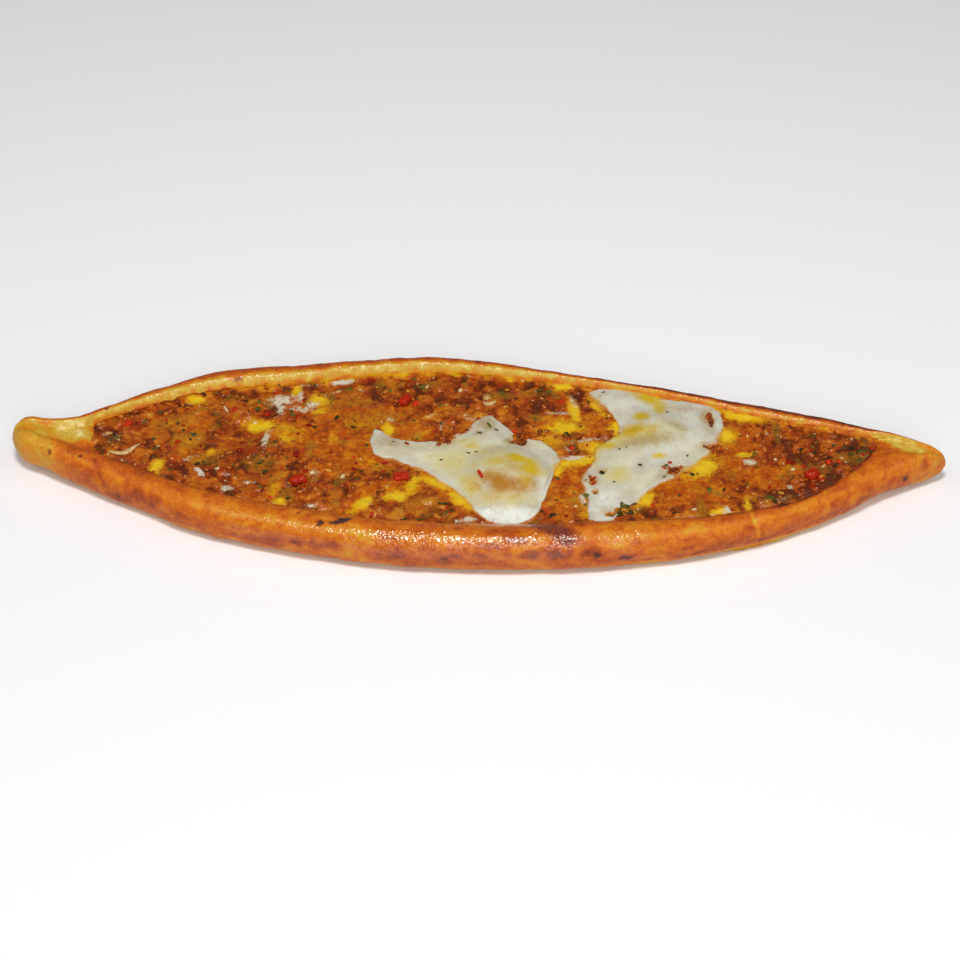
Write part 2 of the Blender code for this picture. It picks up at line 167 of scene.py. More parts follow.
# White curds of egg; the patches at (-105, -24) and (-134, -8) are painted glints
MILKY_AND_GLINT_PATCHES = [
    (-94, 33, 6.5, 3.4, 10, 1), (-95, 27, 5, 2, 100, 0.9), (-84, 28, 5.5, 2.6, 10, 0.95),
    (-86, 35, 1.6, 4.5, 0, 0.9), (-80, 31, 4, 2, 20, 0.8), (-66.5, 46.8, 5.5, 1.5, 12, 1.1),
    (-82, 44, 9, 1.0, 6, 0.4), (-99.6, 5.5, 1.6, 5.5, -8, 1), (-128, -17, 1.5, 4.5, 32, 1),
    (-114, -28, 3, 2, 20, 0.9), (-105, -24, 3.5, 1.3, 20, 0.8), (-75, -38.3, 3.2, 1.3, 10, 0.8),
    (-4.5, -46, 4.5, 1.4, 4, 1.1), (125, -4, 3, 1.8, 0, 1), (113, -37, 2.2, 2.6, 0, 1),
    (142, -21, 1.6, 1.8, 0, 0.9), (-75, -17, 2.4, 3, 0, 0.5), (-62, -18, 2.6, 2.6, 0, 0.45),
    (48, -31, 2.2, 3.6, 10, 0.8), (44, 36, 1.4, 6, 20, 0.7), (-19, 17, 2.2, 3.6, 0, 0.6),
    (37, 27, 6, 1.3, 0, 0.8), (-42, 20, 1.5, 1.4, 0, 0.8), (70, 0, 5, 5, 0, 0.2),
    (-121, 27, 2.6, 0.7, -60, 1), (-175, 7, 3.5, 1.4, 10, 0.4), (-134, -8, 4, 1.2, 20, 0.5),
    (-5, 22, 7, 1.6, -25, 0.6), (43, -3.8, 8, 1.7, 8, 0.9), (50, 9, 8, 1.4, 12, 0.8),
    (41.5, 2.6, 3, 2, 0, 0.5),
]
OLIVE_PATCHES = [
    (-145, 17, 9, 6, 20, 0.75), (-136, 4, 10, 6, 0, 0.9), (-126, -8, 9, 5, 0, 0.8),
    (-100, -10, 9, 6, 0, 0.8), (-50, 20, 18, 8, 0, 0.7), (-60, 32, 12, 6, 0, 0.6),
    (46, -34, 7, 9, 0, 0.7), (65, -38, 8, 4, 20, 0.9), (-25, -36, 14, 6, 0, 0.6),
    (40, 8, 10, 5, 20, 0.8), (172, 0, 10, 5, 0, 0.8), (155, -8, 8, 6, 0, 0.6),
    (130, -29, 10, 4, 0, 0.7), (102, -22, 6, 5, 0, 0.5), (-115, 34, 10, 3, 0, 0.6),
    (-170, 3, 8, 6, 0, 0.5), (24, 42, 10, 3, 0, 0.6), (-88, -30, 6, 6, 0, 0.7),
]
RED_PATCHES = [
    (-167, 14.5, 5, 3, 30, 1), (-160, 8, 10, 8, 0, 0.5), (-101, 24, 5, 2.2, 0, 0.8),
    (-116, 26, 3.5, 4, 0, 0.8), (-111, -2, 4, 2, 10, 0.6), (38, 36, 5, 3, -10, 0.8),
    (135, 4, 5, 6, 0, 0.6), (152, -13, 7, 6, 0, 0.55), (-55, 49, 5, 2, 0, 0.8),
    (-42.5, -9, 3, 2, 10, 0.8), (-30, 12, 10, 5, 0, 0.35), (118, 8, 6, 12, 0, 0.3),
    (95, -24, 12, 6, 0, 0.25), (-35, 45, 3, 2, 0, 0.7), (163, -2, 4, 4, 0, 0.5),
    (20, -44, 8, 3, 0, 0.4),
]
BRIGHTER_PATCHES = [
    (-30, 20, 16, 9, 0, 0.7), (-160, 4, 16, 12, 0, 0.5), (-28, -38, 26, 9, 0, 1),
    (40, -26, 9, 16, 0, 1), (100, -18, 20, 9, 0, 0.7), (-58, 8, 26, 10, 0, 0.4),
    (110, 0, 10, 14, 0, 0.6), (-80, -30, 14, 8, 0, 0.5), (38, 18, 14, 9, 0, 0.9),
]

# Each egg: the direction that the two edges of its white run in, these edges as (along, across),
# the place and size of its yolk, and a bubble as (x, y, radius, rise)
LEFT_EGG = {
    "along": "x",
    "low_edge": [
        (-50.5, 6), (-49.5, 1.6), (-48, -3), (-44.5, -5.2), (-39.8, -5.9), (-33.8, -9.2),
        (-27.9, -12.4), (-20.8, -17.3), (-17.2, -21.4), (-12.6, -24.6), (-7.8, -29.4),
        (-4.3, -34.2), (-0.8, -39), (2.7, -43.8), (7.3, -46.9), (12.9, -48.4), (18.5, -47.4),
        (24, -44.1), (27.3, -39.9), (29.6, -33.4), (31.2, -26.7), (32.9, -20.1), (34.1, -15),
        (35.8, -10.5), (38.7, -6.4),
    ],
    "high_edge": [
        (-50.5, 6), (-49.1, 13), (-46.7, 12.5), (-41.7, 7.9), (-34.6, 5.6), (-27.6, 4.8),
        (-21.8, 5.4), (-13.8, 8.6), (-9.2, 12.2), (-4.6, 15.9), (-2.4, 20.3), (2.2, 24), (5, 24.4),
        (8.2, 20.6), (13, 15.4), (17.7, 10.3), (21.2, 8.4), (28.2, 7.1), (32.9, 2.9), (35.8, -1.4),
        (38.7, -6.4),
    ],
    "yolk": (13, -17), "radius": 16, "height": 6.5, "bubble": (4.6, -40.2, 2.1, 0.75),
}
RIGHT_EGG = {
    "along": "y",
    "low_edge": [
        (-45.4, 56), (-44, 51), (-38, 50.6), (-31.2, 51), (-25.4, 49), (-19.6, 47.2), (-14.2, 48.6),
        (-9.6, 51.6), (-5.4, 54), (-1.2, 53.4), (3, 54.6), (8, 60.6), (13.3, 65.4), (18.6, 66.3),
        (25.6, 63.5), (31.8, 58.9), (36.2, 54.2), (42, 50.9), (45, 56),
    ],
    "high_edge": [
        (-45.4, 56), (-44, 61), (-39.4, 64), (-35.6, 67.9), (-32.2, 72.5), (-23.9, 78.4),
        (-18.7, 84.2), (-16.1, 88.9), (-11.7, 93.6), (-6.5, 99.6), (0.5, 105.7), (7.5, 110.1),
        (14.5, 112.5), (21.6, 113.8), (29.6, 113.1), (33.6, 108.6), (36.4, 98.1), (38, 86.3),
        (42.8, 76.9), (44.4, 66.2), (45, 56),
    ],
    "yolk": (83.5, 12), "radius": 14, "height": 5,
}
WHITE_COLUMNS, WHITE_ROWS = 150, 110  # the faces of a white's sheet, along and across
WHITE_LEVEL = 16.35  # the height that its relief is built up from
WHITE_MARGIN = 2.2  # how far its sheet reaches beyond its edges
WHITE_DEPTH = 1.6  # from its level down to its flat bottom
WHITE_BODY = 0.95  # how far it rises behind its edge
BEAD, BEAD_WIDTH = 0.28, 2.0  # the white's rounded edge
FOOT = 1.0  # how softly the white runs up onto a yolk
MOST_RISE = 7.0  # no place of a white stands higher than this above its level
YOLK_REACH = 1.42  # how far its mound spreads, in yolk radii

# What shows on and through the whites, as patches: holes, lace, edges that thin out gradually
# over what lies under them, and tints, one of them partly a painted shade
BARE_PATCHES = [
    (-17.2, 8.2, 4.8, 3.8, 0, 1), (18.6, 8.8, 3.6, 5.6, 0, 1), (15.4, 6.4, 1.6, 2.2, 0, 1),
    (108.2, 24.4, 1.8, 5.6, 6, 1), (109.5, 5.4, 4.0, 1.8, 10, 1), (89.6, -11.2, 3.8, 2.0, 30, 1),
    (-8, 14.2, 3, 1.8, 40, 1), (56.7, -13.4, 1.5, 1.6, 0, 0.9), (52.6, -19.5, 1.6, 2.6, 0, 0.9),
    (53.6, -26.8, 1.2, 1.6, 0, 0.9), (60, -41, 3, 2, 30, 0.9), (64, -38, 3, 2.4, 40, 0.9),
    (46, 3, 5, 2, 10, 1), (48.5, -6, 4, 3, 20, 0.9), (-0.5, 12, 1.6, 1.4, 0, 0.8),
]
LACE_PATCHES = [
    (-12, 11, 10, 5, 30, 0.9), (-22, 12, 6, 5, 0, 1), (2, 20, 7, 5, -40, 0.5),
    (27, 8, 7, 4, -20, 0.5), (90, -13, 9, 4, 45, 0.85), (52, -22, 5, 12, 5, 0.7),
    (109, 10, 5, 8, 0, 0.6), (110, 30, 6, 6, 0, 0.5), (-28, -13, 12, 2.5, -35, 0.6),
    (54, 34, 3, 8, -15, 0.5), (50, 3, 6, 8, 0, 0.8), (66, -36, 7, 5, 45, 0.8),
    (70, 3, 7, 4, 0, 0.25),
]
FADED_EDGES = [
    (-15, -26, 20, 5, -44, 0.35), (36, -8, 5, 5, 0, 0.7), (-10, 11, 11, 6, 0, 0.5),
    (53, 30, 7, 12, 15, 0.7), (52, 2, 6, 7, 0, 0.4), (49, -14, 4, 10, 0, 0.5),
    (72, -27, 9, 5, 45, 0.4), (96, -9, 11, 5, 45, 0.35), (82, 38, 9, 7, 0, 0.6),
    (110, 8, 6, 9, 0, 0.4), (1, 19, 5, 4, 0, 0.5),
]
PEEKS = [(22, -14, 5, 7, 12, 1), (11, -27, 9, 4, -6, 0.9), (80, 5, 8, 4, 5, 1)]
BRIGHT_PATCHES = [
    (14, -43, 17, 4.5, 0, 1), (30, -27, 2.6, 10, 5, 0.6), (84, 14, 24, 15, 20, 0.22),
    (26, 3, 6, 5, 0, 0.5), (58, -34, 5, 9, 0, 0.55), (66, 35, 9, 5, 0, 0.3),
    (67, -7, 8, 5, 30, 0.45), (98, 8, 10, 7, 30, 0.35), (-45, 4, 5, 6, 0, 0.2),
    (-22, -6, 7, 4, -25, 0.4), (7, 4, 6, 3, 0, 0.3), (99, 27, 8, 4, 0, 0.1),
    (72, -21, 7, 4, 30, 0.4),
]
CREAM_TINTS = [
    (4, -10, 18, 15, -15, 0.8), (-13, -8, 13, 9, -20, 0.9), (-7, 4, 10, 5, 0, 0.7),
    (12, -32, 15, 6, 0, 0.75), (70, 9, 18, 6, 6, 0.9), (64, -16, 7, 7, 0, 1),
    (56, 5, 10, 4, 15, 0.9), (-36, 0, 10, 5, 0, 0.3), (86, 12, 10, 8, 8, 0.6),
    (26, 4, 8, 5, 0, 0.4), (74, -20, 8, 5, 40, 0.5), (66, -5, 10, 6, 30, 0.4),
    (100, 4, 9, 8, 0, 0.3), (-4, -24, 5, 9, 45, 0.9),
]
YOLK_TINTS = [
    (18.5, -11, 6, 3.4, -12, 1), (24, -16.5, 6, 6.5, 0, 0.95), (21.5, -24, 5, 5, 0, 0.7),
    (-4.3, 1.5, 4, 1.7, -5, 0.6), (3.5, -4.6, 5, 1.3, -8, 0.5), (7.8, -14.5, 5, 3.4, 0, 0.7),
    (-9, 4, 4.5, 3, 0, 0.35), (14, -19, 15, 11, 0, 0.32), (-12, -10, 9, 7, -20, 0.22),
    (75.7, 22.9, 3.6, 4.0, 0, 1), (83, -3.4, 3.4, 1.6, 0, 0.9), (79, 38.5, 9, 4, -38, 1),
    (84, 30, 3, 7, 6, 0.8), (54, 33, 3.4, 5, 0, 0.8), (56, 4.6, 8, 3.4, 10, 0.9),
    (63, 10.6, 9, 3.4, 4, 0.7), (73, 12.6, 8, 4.4, 0, 0.85), (60, -26, 2, 4, 0, 0.2),
    (-3, -25, 4, 8, 45, 0.5), (12, -34, 12, 4, 0, 0.35), (36, -12, 4, 4, 0, 0.4),
    (64, -16, 5, 5, 0, 0.35), (47, -2, 8, 3, 10, 0.8), (53, -6, 3, 5, 0, 0.6),
]
BROWN_TINTS = [
    (11.5, -27, 9.5, 4.6, -6, 1), (4.5, -24, 4.5, 4.5, 0, 0.7), (18, -28.6, 7, 3.4, 0, 0.7),
    (15.3, -18.5, 5.5, 5.5, 0, 0.35), (25.5, -25.7, 3.6, 5, 0, 0.55), (10, -20, 9, 4, 0, 0.4),
    (72, 13, 8, 3, 0, 0.35), (9, -33, 12, 3, 0, 0.35), (-42, 3, 6, 3, 0, 0.25),
    (-33, -2, 6, 3, 0, 0.25), (52.8, -19.3, 2.6, 3.6, 0, 0.65), (53.7, -26.8, 1.6, 2, 0, 0.7),
    (74.2, -9.5, 2, 2.2, 0, 0.6), (56.7, -13.2, 2.4, 2.6, 0, 0.6), (106.5, 5, 5, 3, 0, 0.6),
    (89.6, -11, 5.5, 3.4, 0, 0.45), (106.6, 24, 3.4, 7, 0, 0.45), (-15.5, 5.5, 6, 4, 0, 0.45),
    (18.5, 6, 5.5, 6, 0, 0.4), (-33.4, 1.6, 2.4, 1.6, 0, 0.4), (0.9, -21.2, 2, 3.4, 20, 0.5),
    (95, 31, 8, 3, 0, 0.3), (-6.2, 12.6, 3.4, 2, 0, 0.5), (70, 12, 6, 3, 0, 0.25),
]
# Dull olive tints where the white thins over what lies under it; the first two, on the front of the
# right yolk's mound, are a painted shade
DULL_AND_SHADE_TINTS = [
    (76, 6, 13, 4.4, 6, 0.85), (86, 6, 8, 3, 8, 0.55), (91.8, 15, 5, 3, -10, 0.6),
    (3.5, 18, 5, 4.5, -50, 0.9), (-0.5, 11.5, 3, 2.4, 0, 0.8), (15.1, 5.8, 4, 3, 0, 0.8),
    (-19, 10, 4, 4, 0, 0.6), (19, 10, 5, 7, 0, 0.7), (53.6, 33.6, 4, 7, 0, 0.6),
    (-42, 4, 8, 5, 0, 0.62), (86, -15, 5, 3, 40, 0.6), (108, 22, 4, 9, 0, 0.6),
    (-10, 14, 6, 3, 30, 0.7), (61, -39, 5, 3, 30, 0.6), (95, 30, 10, 4, 0, 0.35),
]

# Small things, as bits
HERB_FLAKES = [
    (-170, 5, 5, 2.2, 5), (-174.5, -7, 4, 2.6, -15), (-162.5, -12, 3.4, 1.4, 80),
    (-158, 17, 3.2, 2.4, 20), (-134, 7, 4.2, 3, 30), (-130.5, -12, 5, 2.2, 10),
    (-105, 27.3, 3.8, 2.6, 30), (-101.5, -8.8, 4.6, 3.4, -20), (-98, -15.5, 6, 2.4, 100),
    (-95, 3, 2.4, 2, 40), (-88.3, 24, 5, 2.6, 75), (-88, -14, 2.6, 1.4, 60),
    (-63.5, 42, 4, 1.8, 30), (-67, 22.5, 6, 1.9, 60), (-45, 42, 4, 2.6, 10), (-28, 45.5, 4, 2.2, 0),
    (-19.8, 31, 3, 2.0, 10), (-19, 17.4, 2.8, 2.2, 30), (9.4, 42, 3.4, 2.4, 0),
    (26, 43.4, 6, 2.0, 0), (31.5, 43, 4.5, 2.4, 10), (41, 11, 4, 2.2, 70), (40, 13.5, 3, 2, 10),
    (-55, -14, 6, 1.5, -15), (-15, -36, 5, 1.8, 5), (-14.5, -42, 3.4, 2.6, 40),
    (-32.5, -45.5, 3.6, 2.6, 40), (-25, -46, 3.4, 1.8, 10), (63.5, -41, 4.2, 3, 20),
    (66, -37.5, 4.6, 3.4, 50), (68.6, -39, 4.4, 2.8, -10), (69.5, -34.8, 6.5, 1.5, 18),
    (65.5, -34.5, 3, 2.4, 80), (48.6, -29.5, 4, 3, 40), (105, -24, 4, 3, 60),
    (132, -29, 6, 2.4, 15), (134, -31, 3, 2.0, 0), (161, 0, 5, 2.2, 20), (155, 3, 3, 2, 10),
    (173, 3, 5, 2.6, 30), (177, 3.6, 4.6, 3, 10), (181, 4, 3.6, 2.4, -10), (175, -2, 4.4, 2.6, 60),
    (172, 6.5, 4, 2, -20), (-120, 35, 3, 2, 0), (-113, 33, 4, 2, 10), (90, -39, 4, 2, 10),
    (149, 4, 3, 1.8, 50), (-86, -33.5, 3, 1.8, 20), (165, -6, 3, 2, 70), (-150, -2, 2.6, 2, 40),
    (-73, -39.5, 4, 1.6, 5), (34, -42, 3.4, 2, 40), (29, -39, 2.6, 1.8, 0), (58, 42, 2, 1.2, 0),
]
EGG_FLECKS = [
    (4.8, 16.4, 4.6, 1.3, -58), (7.8, 13.6, 2.2, 1.0, -50), (-0.5, 11.5, 2.6, 1.8, 10),
    (-4.4, -3.4, 2.6, 0.8, 0), (15.1, 5.8, 3, 2.2, 0), (-17.4, -8.3, 1.6, 1.1, 0),
    (-1.2, -2.7, 1.4, 0.9, 0), (56.7, -13.1, 2.8, 2.2, 30), (57.2, -15.6, 1.6, 1.2, 60),
    (74.2, -9.5, 1.7, 1.5, 0), (65.1, 1.4, 1.3, 1.0, 0), (68.2, 2.4, 1.4, 1.0, 30),
    (96.2, -2.4, 1.7, 1.1, 40), (53.7, -26.8, 1.6, 1.3, 60), (85.1, -16, 2, 1.4, 30),
    (49.2, -19.2, 1.2, 1, 0), (62, -21, 1.1, 0.9, 0), (86.5, -9.2, 1.6, 1.2, 0),
    (92, -12.5, 1.3, 1, 0), (-40, 4.4, 1.3, 0.9, 0), (88, 27, 1.2, 0.9, 0),
]
RED_BITS = [
    (-140.5, 3, 2.2, 1.8, 0), (-166, 15, 4, 2.6, 40), (-84.6, -4.3, 2.8, 3.4, 10),
    (-35, 45.4, 2.6, 1.8, 0), (-53, 49, 2.8, 1.8, 20), (-43, -9.4, 2.6, 1.4, 0),
    (-101, 23.5, 3.4, 2, 0), (-116.5, 26.5, 2.2, 3, 0), (-110.5, -2, 3, 1.6, 20),
    (38.5, 36, 3.2, 2.2, 0), (161.5, -2.4, 2.2, 2.6, 20), (166, -3.4, 2, 2.2, 50),
    (182.3, 5.4, 2.2, 1.8, 0), (143.5, -4.4, 3.4, 1.6, 10), (152, -20, 2, 1.6, 0),
    (-31, 32.5, 3, 2.6, 30), (157, -15, 2.4, 1.6, 60), (-80, 15.6, 2.6, 1.6, 20),
    (-57, -13.4, 2, 1.4, 0), (-47, -44, 2.6, 2, 30), (88, -7.4, 2, 1.4, 20),
    (53.2, -17.4, 1.8, 1.2, 0), (52.8, -21.6, 1.6, 2, 0), (-33.6, 3.2, 2.2, 1.2, -20),
    (0.9, -20.4, 5.6, 1.5, -68), (16, 13.2, 2.2, 1.8, 0), (49, 12, 2.6, 1.8, 0), (43, 3, 2, 2, 0),
]
ONION_BITS = [
    (2.9, 38, 4.2, 4.4, 0), (-121, 27.2, 4, 1.2, -62), (-76, -17, 3, 2.4, 30),
    (-62, -18.4, 3, 2.4, 60), (-43, 20, 2.4, 2, 0), (144.5, -9, 2.2, 1.8, 20),
    (159, -5, 3, 1.6, 50), (-10, 43, 3, 2, 60), (-68, 40, 3.4, 1.3, 30), (-7, 26, 3, 1.2, 40),
    (-58, 42, 2.6, 1.6, -30), (33, 27.6, 4.4, 1.4, 5), (-134, -7, 3, 1.3, 30),
    (-26, 45, 3, 1.4, 60), (-120, -15, 2.6, 2, 20), (98, -37, 2.6, 1.6, 30),
    (-106, 17.6, 2.4, 1.6, 10), (-173.6, 7.6, 4, 1.4, 10), (137, -2, 2, 1.6, 0),
]
# Curved slivers: (middle of the arc, radius, start, end, half width)
ONION_SLIVERS = [((-167, 4.4), 9.8, 243, 337, 1.35), ((4.2, 35.4), 3.0, 190, 345, 0.9)]
SLIVER_THICKNESS = 0.55
# Mince on the eggs: (x, y, spread along X, spread along Y, number of grains)
MEAT_ON_EGGS = [
    (-17.6, 7.4, 4.6, 4.0, 30), (18.8, 9.6, 4.0, 5.6, 30), (19.6, 3.8, 2.0, 2.4, 8),
    (108.2, 24, 1.8, 6.2, 18), (108.6, 4.6, 3.8, 2.0, 9), (89.6, -11, 4.2, 2.4, 13),
    (52.8, -19.4, 1.4, 2.4, 5), (-7, 12.8, 2.4, 1.6, 6), (111, 3, 1.6, 3.4, 5),
    (-20, 16, 2.8, 3.6, 10), (29, 12, 2.6, 2.4, 7), (42, 10, 5, 2.4, 14),
]
PEPPER_PLACES = [(-82, -23), (-36, 34), (-35, -19), (153, -13)]  # the four large dice
GRAINS_ROUND_PEPPER = 9  # loose grains of mince round each of them
GRAIN_COUNT = 520  # and scattered over the filling

# Colours. A scale is (place on it, colour)
BAKED = [
    (0.00, (0.84, 0.66, 0.24)), (0.14, (0.66, 0.445, 0.058)), (0.30, (0.61, 0.335, 0.020)),
    (0.45, (0.68, 0.220, 0.006)), (0.60, (0.59, 0.132, 0.003)), (0.74, (0.47, 0.078, 0.003)),
    (0.88, (0.27, 0.036, 0.005)), (1.00, (0.055, 0.014, 0.008)),
]
SINGED, SCORCHED, CHARRED = (0.34, 0.050, 0.012), (0.115, 0.018, 0.018), (0.045, 0.026, 0.020)
WARM = (1.0, 0.78, 0.45, 1)  # the shine on oily, browned things
MINCE = [
    (0.00, (0.11, 0.018, 0.003)), (0.12, (0.22, 0.030, 0.002)), (0.26, (0.34, 0.056, 0.003)),
    (0.42, (0.44, 0.094, 0.004)), (0.58, (0.52, 0.145, 0.006)), (0.74, (0.58, 0.225, 0.014)),
    (0.88, (0.66, 0.33, 0.06)), (1.00, (0.78, 0.52, 0.26)),
]
GLAZE = [
    (0.05, (0.30, 0.045, 0.003)), (0.30, (0.43, 0.080, 0.003)), (0.50, (0.52, 0.125, 0.004)),
    (0.70, (0.60, 0.205, 0.005)), (0.95, (0.68, 0.330, 0.012)),
]
YELLOWS = [
    (0.10, (0.55, 0.160, 0.003)), (0.40, (0.63, 0.255, 0.004)), (0.70, (0.70, 0.375, 0.006)),
    (1.00, (0.78, 0.50, 0.014)),
]
MILK_AND_GLINTS = [(0.00, (0.50, 0.24, 0.07)), (0.45, (0.57, 0.41, 0.23)), (1.00, (0.66, 0.60, 0.47))]
OLIVE, RED, CREVICE_SHADE = (0.32, 0.165, 0.010), (0.42, 0.040, 0.005), (0.20, 0.032, 0.003)
SET_WHITE = [(0.0, (0.50, 0.45, 0.35)), (0.35, (0.60, 0.58, 0.47)), (1.0, (0.84, 0.86, 0.76))]
CREAM, FAINT, DULL_AND_SHADE = (0.66, 0.58, 0.25), (0.56, 0.42, 0.30), (0.38, 0.26, 0.09)
YOLK, YOLK_BROWN = (0.62, 0.43, 0.012), (0.42, 0.175, 0.010)
UNDER_ORANGE, UNDER_GOLD = (0.50, 0.150, 0.008, 1), (0.70, 0.40, 0.016, 1)


# ---- Places and patterns


def smooth(low, high, values):
    """0 at low and beyond, 1 at high and beyond, and an easy curve between them."""
    share = np.clip((values - low) / (high - low), 0, 1)
    return share * share * (3 - 2 * share)


def lumps(places, size, seed=0.0):
    """Soft unevenness of about -1 to 1, with lumps of this size."""
    shift = Vector((seed, 2.3 * seed, -seed))
    return np.array([noise.noise(Vector(p) / size + shift) for p in places])


def grains(places, size, seed=0.0):
    """For a heap of grains of this size: how far each place is from its grain's middle, in grain
    sizes, and that grain's own number from 0 to 1."""
    shift = Vector((seed, 2.3 * seed, -seed))
    reach, number = np.empty(len(places)), np.empty(len(places))
    for i, p in enumerate(places):
        distances, middles = noise.voronoi(Vector(p) / size + shift)
        reach[i] = distances[0]
        number[i] = noise.cell(middles[0] * 7.31)
    return reach, number


def flat(places):
    return places * (1, 1, 0)


def warped(places, size, amount, seed):
    """Places pushed about sideways, so that what is drawn on them isn't regular."""
    moved = flat(places)
    level = moved.copy()
    moved[:, 0] += amount * lumps(level, size, seed)
    moved[:, 1] += amount * lumps(level, size, seed + 17)
    return moved


def turned(dx, dy, degrees):
    """Distances along and across a direction that is this far from X."""
    c, s = math.cos(math.radians(degrees)), math.sin(math.radians(degrees))
    return dx * c + dy * s, dy * c - dx * s


def patches(places, found, edge=0.3, rough=0.0):
    """How strongly each place is inside any of these patches, which have soft, uneven edges."""
    total = np.zeros(len(places))
    for x, y, long, wide, turn, strength in found:
        reach = 1.6 * (1 + edge) * max(long, wide)
        near = np.hypot(places[:, 0] - x, places[:, 1] - y) < reach
        u, v = turned(places[near, 0] - x, places[near, 1] - y, turn)
        uneven = rough[near] if np.ndim(rough) else rough
        away = np.hypot(u / long, v / wide) + uneven
        total[near] = np.maximum(total[near], strength * smooth(1 + edge, 1 - edge, away))
    return total


def marks(places, found, rough):
    """The same for marks on the dough, which also have a height."""
    total = np.zeros(len(places))
    for x, y, z, long, wide, turn, strength in found:
        dx, dy, dz = (places - (x, y, z)).T
        u, v = turned(dx, dy, turn)
        away = np.hypot(u / long, np.hypot(v, dz) / wide) + rough
        total = np.maximum(total, strength * smooth(1.35, 0.6, away))
    return total


def off_line(places, line):
    """The distance of each place from a line through these points."""
    nearest = np.full(len(places), 1e9)
    for start, end in zip(line, line[1:]):
        start, run = np.array(start, float), np.subtract(end, start)
        share = np.clip((places[:, : len(start)] - start) @ run / (run @ run), 0, 1)
        gap = places[:, : len(start)] - start - share[:, None] * run
        nearest = np.minimum(nearest, np.sqrt((gap**2).sum(1)))
    return nearest


def groove(places, width, line):
    """How deep each place is in a groove along a line, from 0 to 1."""
    return np.exp(-((off_line(places, line) / width) ** 2))


def straight(points, at, **beyond):
    """The heights at these places of the straight lines through these points."""
    return np.interp(at, *np.array(points, float).T, **beyond)


def curve(points, at):
    """The height at one place of the smooth curve through these points."""
    if at <= points[0][0]:
        return points[0][1]
    if at >= points[-1][0]:
        return points[-1][1]
    i = next(k for k in range(len(points) - 1) if points[k + 1][0] >= at)
    slopes = []
    for k in (i, i + 1):
        before, after = points[max(k - 1, 0)], points[min(k + 1, len(points) - 1)]
        slopes.append((after[1] - before[1]) / (after[0] - before[0]))
    (x0, y0), (x1, y1) = points[i], points[i + 1]
    t = (at - x0) / (x1 - x0)
    rise = y0 * (1 - t) ** 2 * (1 + 2 * t) + y1 * t * t * (3 - 2 * t)
    return rise + (x1 - x0) * (slopes[0] * t * (1 - t) ** 2 - slopes[1] * t * t * (1 - t))


# ---- Meshes


def mesh_places(mesh):
    """The vertices of a mesh, in millimetres."""
    places = np.empty(len(mesh.vertices) * 3)
    mesh.vertices.foreach_get("co", places)
    return places.reshape(-1, 3) / MM


def set_places(mesh, places):
    mesh.vertices.foreach_set("co", (places * MM).ravel())
    mesh.update()


def vertex_normals(mesh):
    normals = np.empty(len(mesh.vertices) * 3, np.float32)
    mesh.vertex_normals.foreach_get("vector", normals)
    return normals.reshape(-1, 3).astype(float)


def paint(mesh, **shares):
    """Gives each vertex these shares, which the materials read by name."""
    for name, values in shares.items():
        layer = mesh.attributes.new(name, "FLOAT", "POINT")
        layer.data.foreach_set("value", np.asarray(values, np.float32))


def tree_of(mesh):
    bm = bmesh.new()
    bm.from_mesh(mesh)
    tree = BVHTree.FromBMesh(bm)
    bm.free()
    return tree


def settle(tree, x, y):
    """The height of what is under a place, or 0 where there is nothing."""
    hit = tree.ray_cast(Vector((x, y, 60)) * MM, Vector((0, 0, -1)))[0]
    return hit.z / MM if hit else 0


def mesh_of(bm, name):
    """A new mesh of this bmesh, which is freed."""
    mesh = bpy.data.meshes.new(name)
    bm.to_mesh(mesh)
    bm.free()
    return mesh


def move_to(bm, places):
    for vertex, place in zip(bm.verts, places):
        vertex.co = place * MM


def face_outwards(bm):
    bmesh.ops.recalc_face_normals(bm, faces=bm.faces)
    if bm.calc_volume(signed=True) < 0:
        bmesh.ops.reverse_faces(bm, faces=bm.faces)


def close_below(bm, lowered):
    """Closes an open sheet with a skirt down to where lowered() puts it, and a bottom."""
    rim = [e for e in bm.edges if e.is_boundary]
    for element in bmesh.ops.extrude_edge_only(bm, edges=rim)["geom"]:
        if isinstance(element, bmesh.types.BMVert):
            element.co = lowered(element.co)
    bmesh.ops.contextual_create(bm, geom=[e for e in bm.edges if e.is_boundary])
    face_outwards(bm)


def new_piece(name, mesh, finish):
    mesh.materials.clear()
    mesh.materials.append(finish)
    mesh.shade_smooth()
    piece = bpy.data.objects.new(name, mesh)
    bpy.context.scene.collection.objects.link(piece)
    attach(piece, "root")
    return piece


def smoothed_solid(name, levels):
    """A CAD node's own skin, with its doubles merged and its faces subdivided to a smooth mesh."""
    bm = bmesh.new()
    bm.from_mesh(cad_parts[name].data)
    bmesh.ops.remove_doubles(bm, verts=bm.verts, dist=0.01 * MM)
    bmesh.ops.join_triangles(
        bm, faces=bm.faces, angle_face_threshold=0.7, angle_shape_threshold=1.2
    )
    rough = bpy.data.objects.new("rough", mesh_of(bm, "rough"))
    bpy.context.scene.collection.objects.link(rough)
    finer = rough.modifiers.new("finer", "SUBSURF")
    finer.levels = finer.render_levels = levels
    graph = bpy.context.evaluated_depsgraph_get()
    made = bpy.data.meshes.new_from_object(rough.evaluated_get(graph))
    bpy.data.meshes.remove(rough.data)
    return made


# ---- Materials


def node(tree, kind, inputs=None, **settings):
    made = tree.nodes.new("ShaderNode" + kind)
    for name, value in settings.items():
        setattr(made, name, value)
    for socket, value in (inputs or {}).items():
        if isinstance(value, bpy.types.NodeSocket):
            tree.links.new(value, made.inputs[socket])
        else:
            made.inputs[socket].default_value = value
    return made


def share(tree, name):
    return node(tree, "Attribute", attribute_name=name).outputs["Fac"]


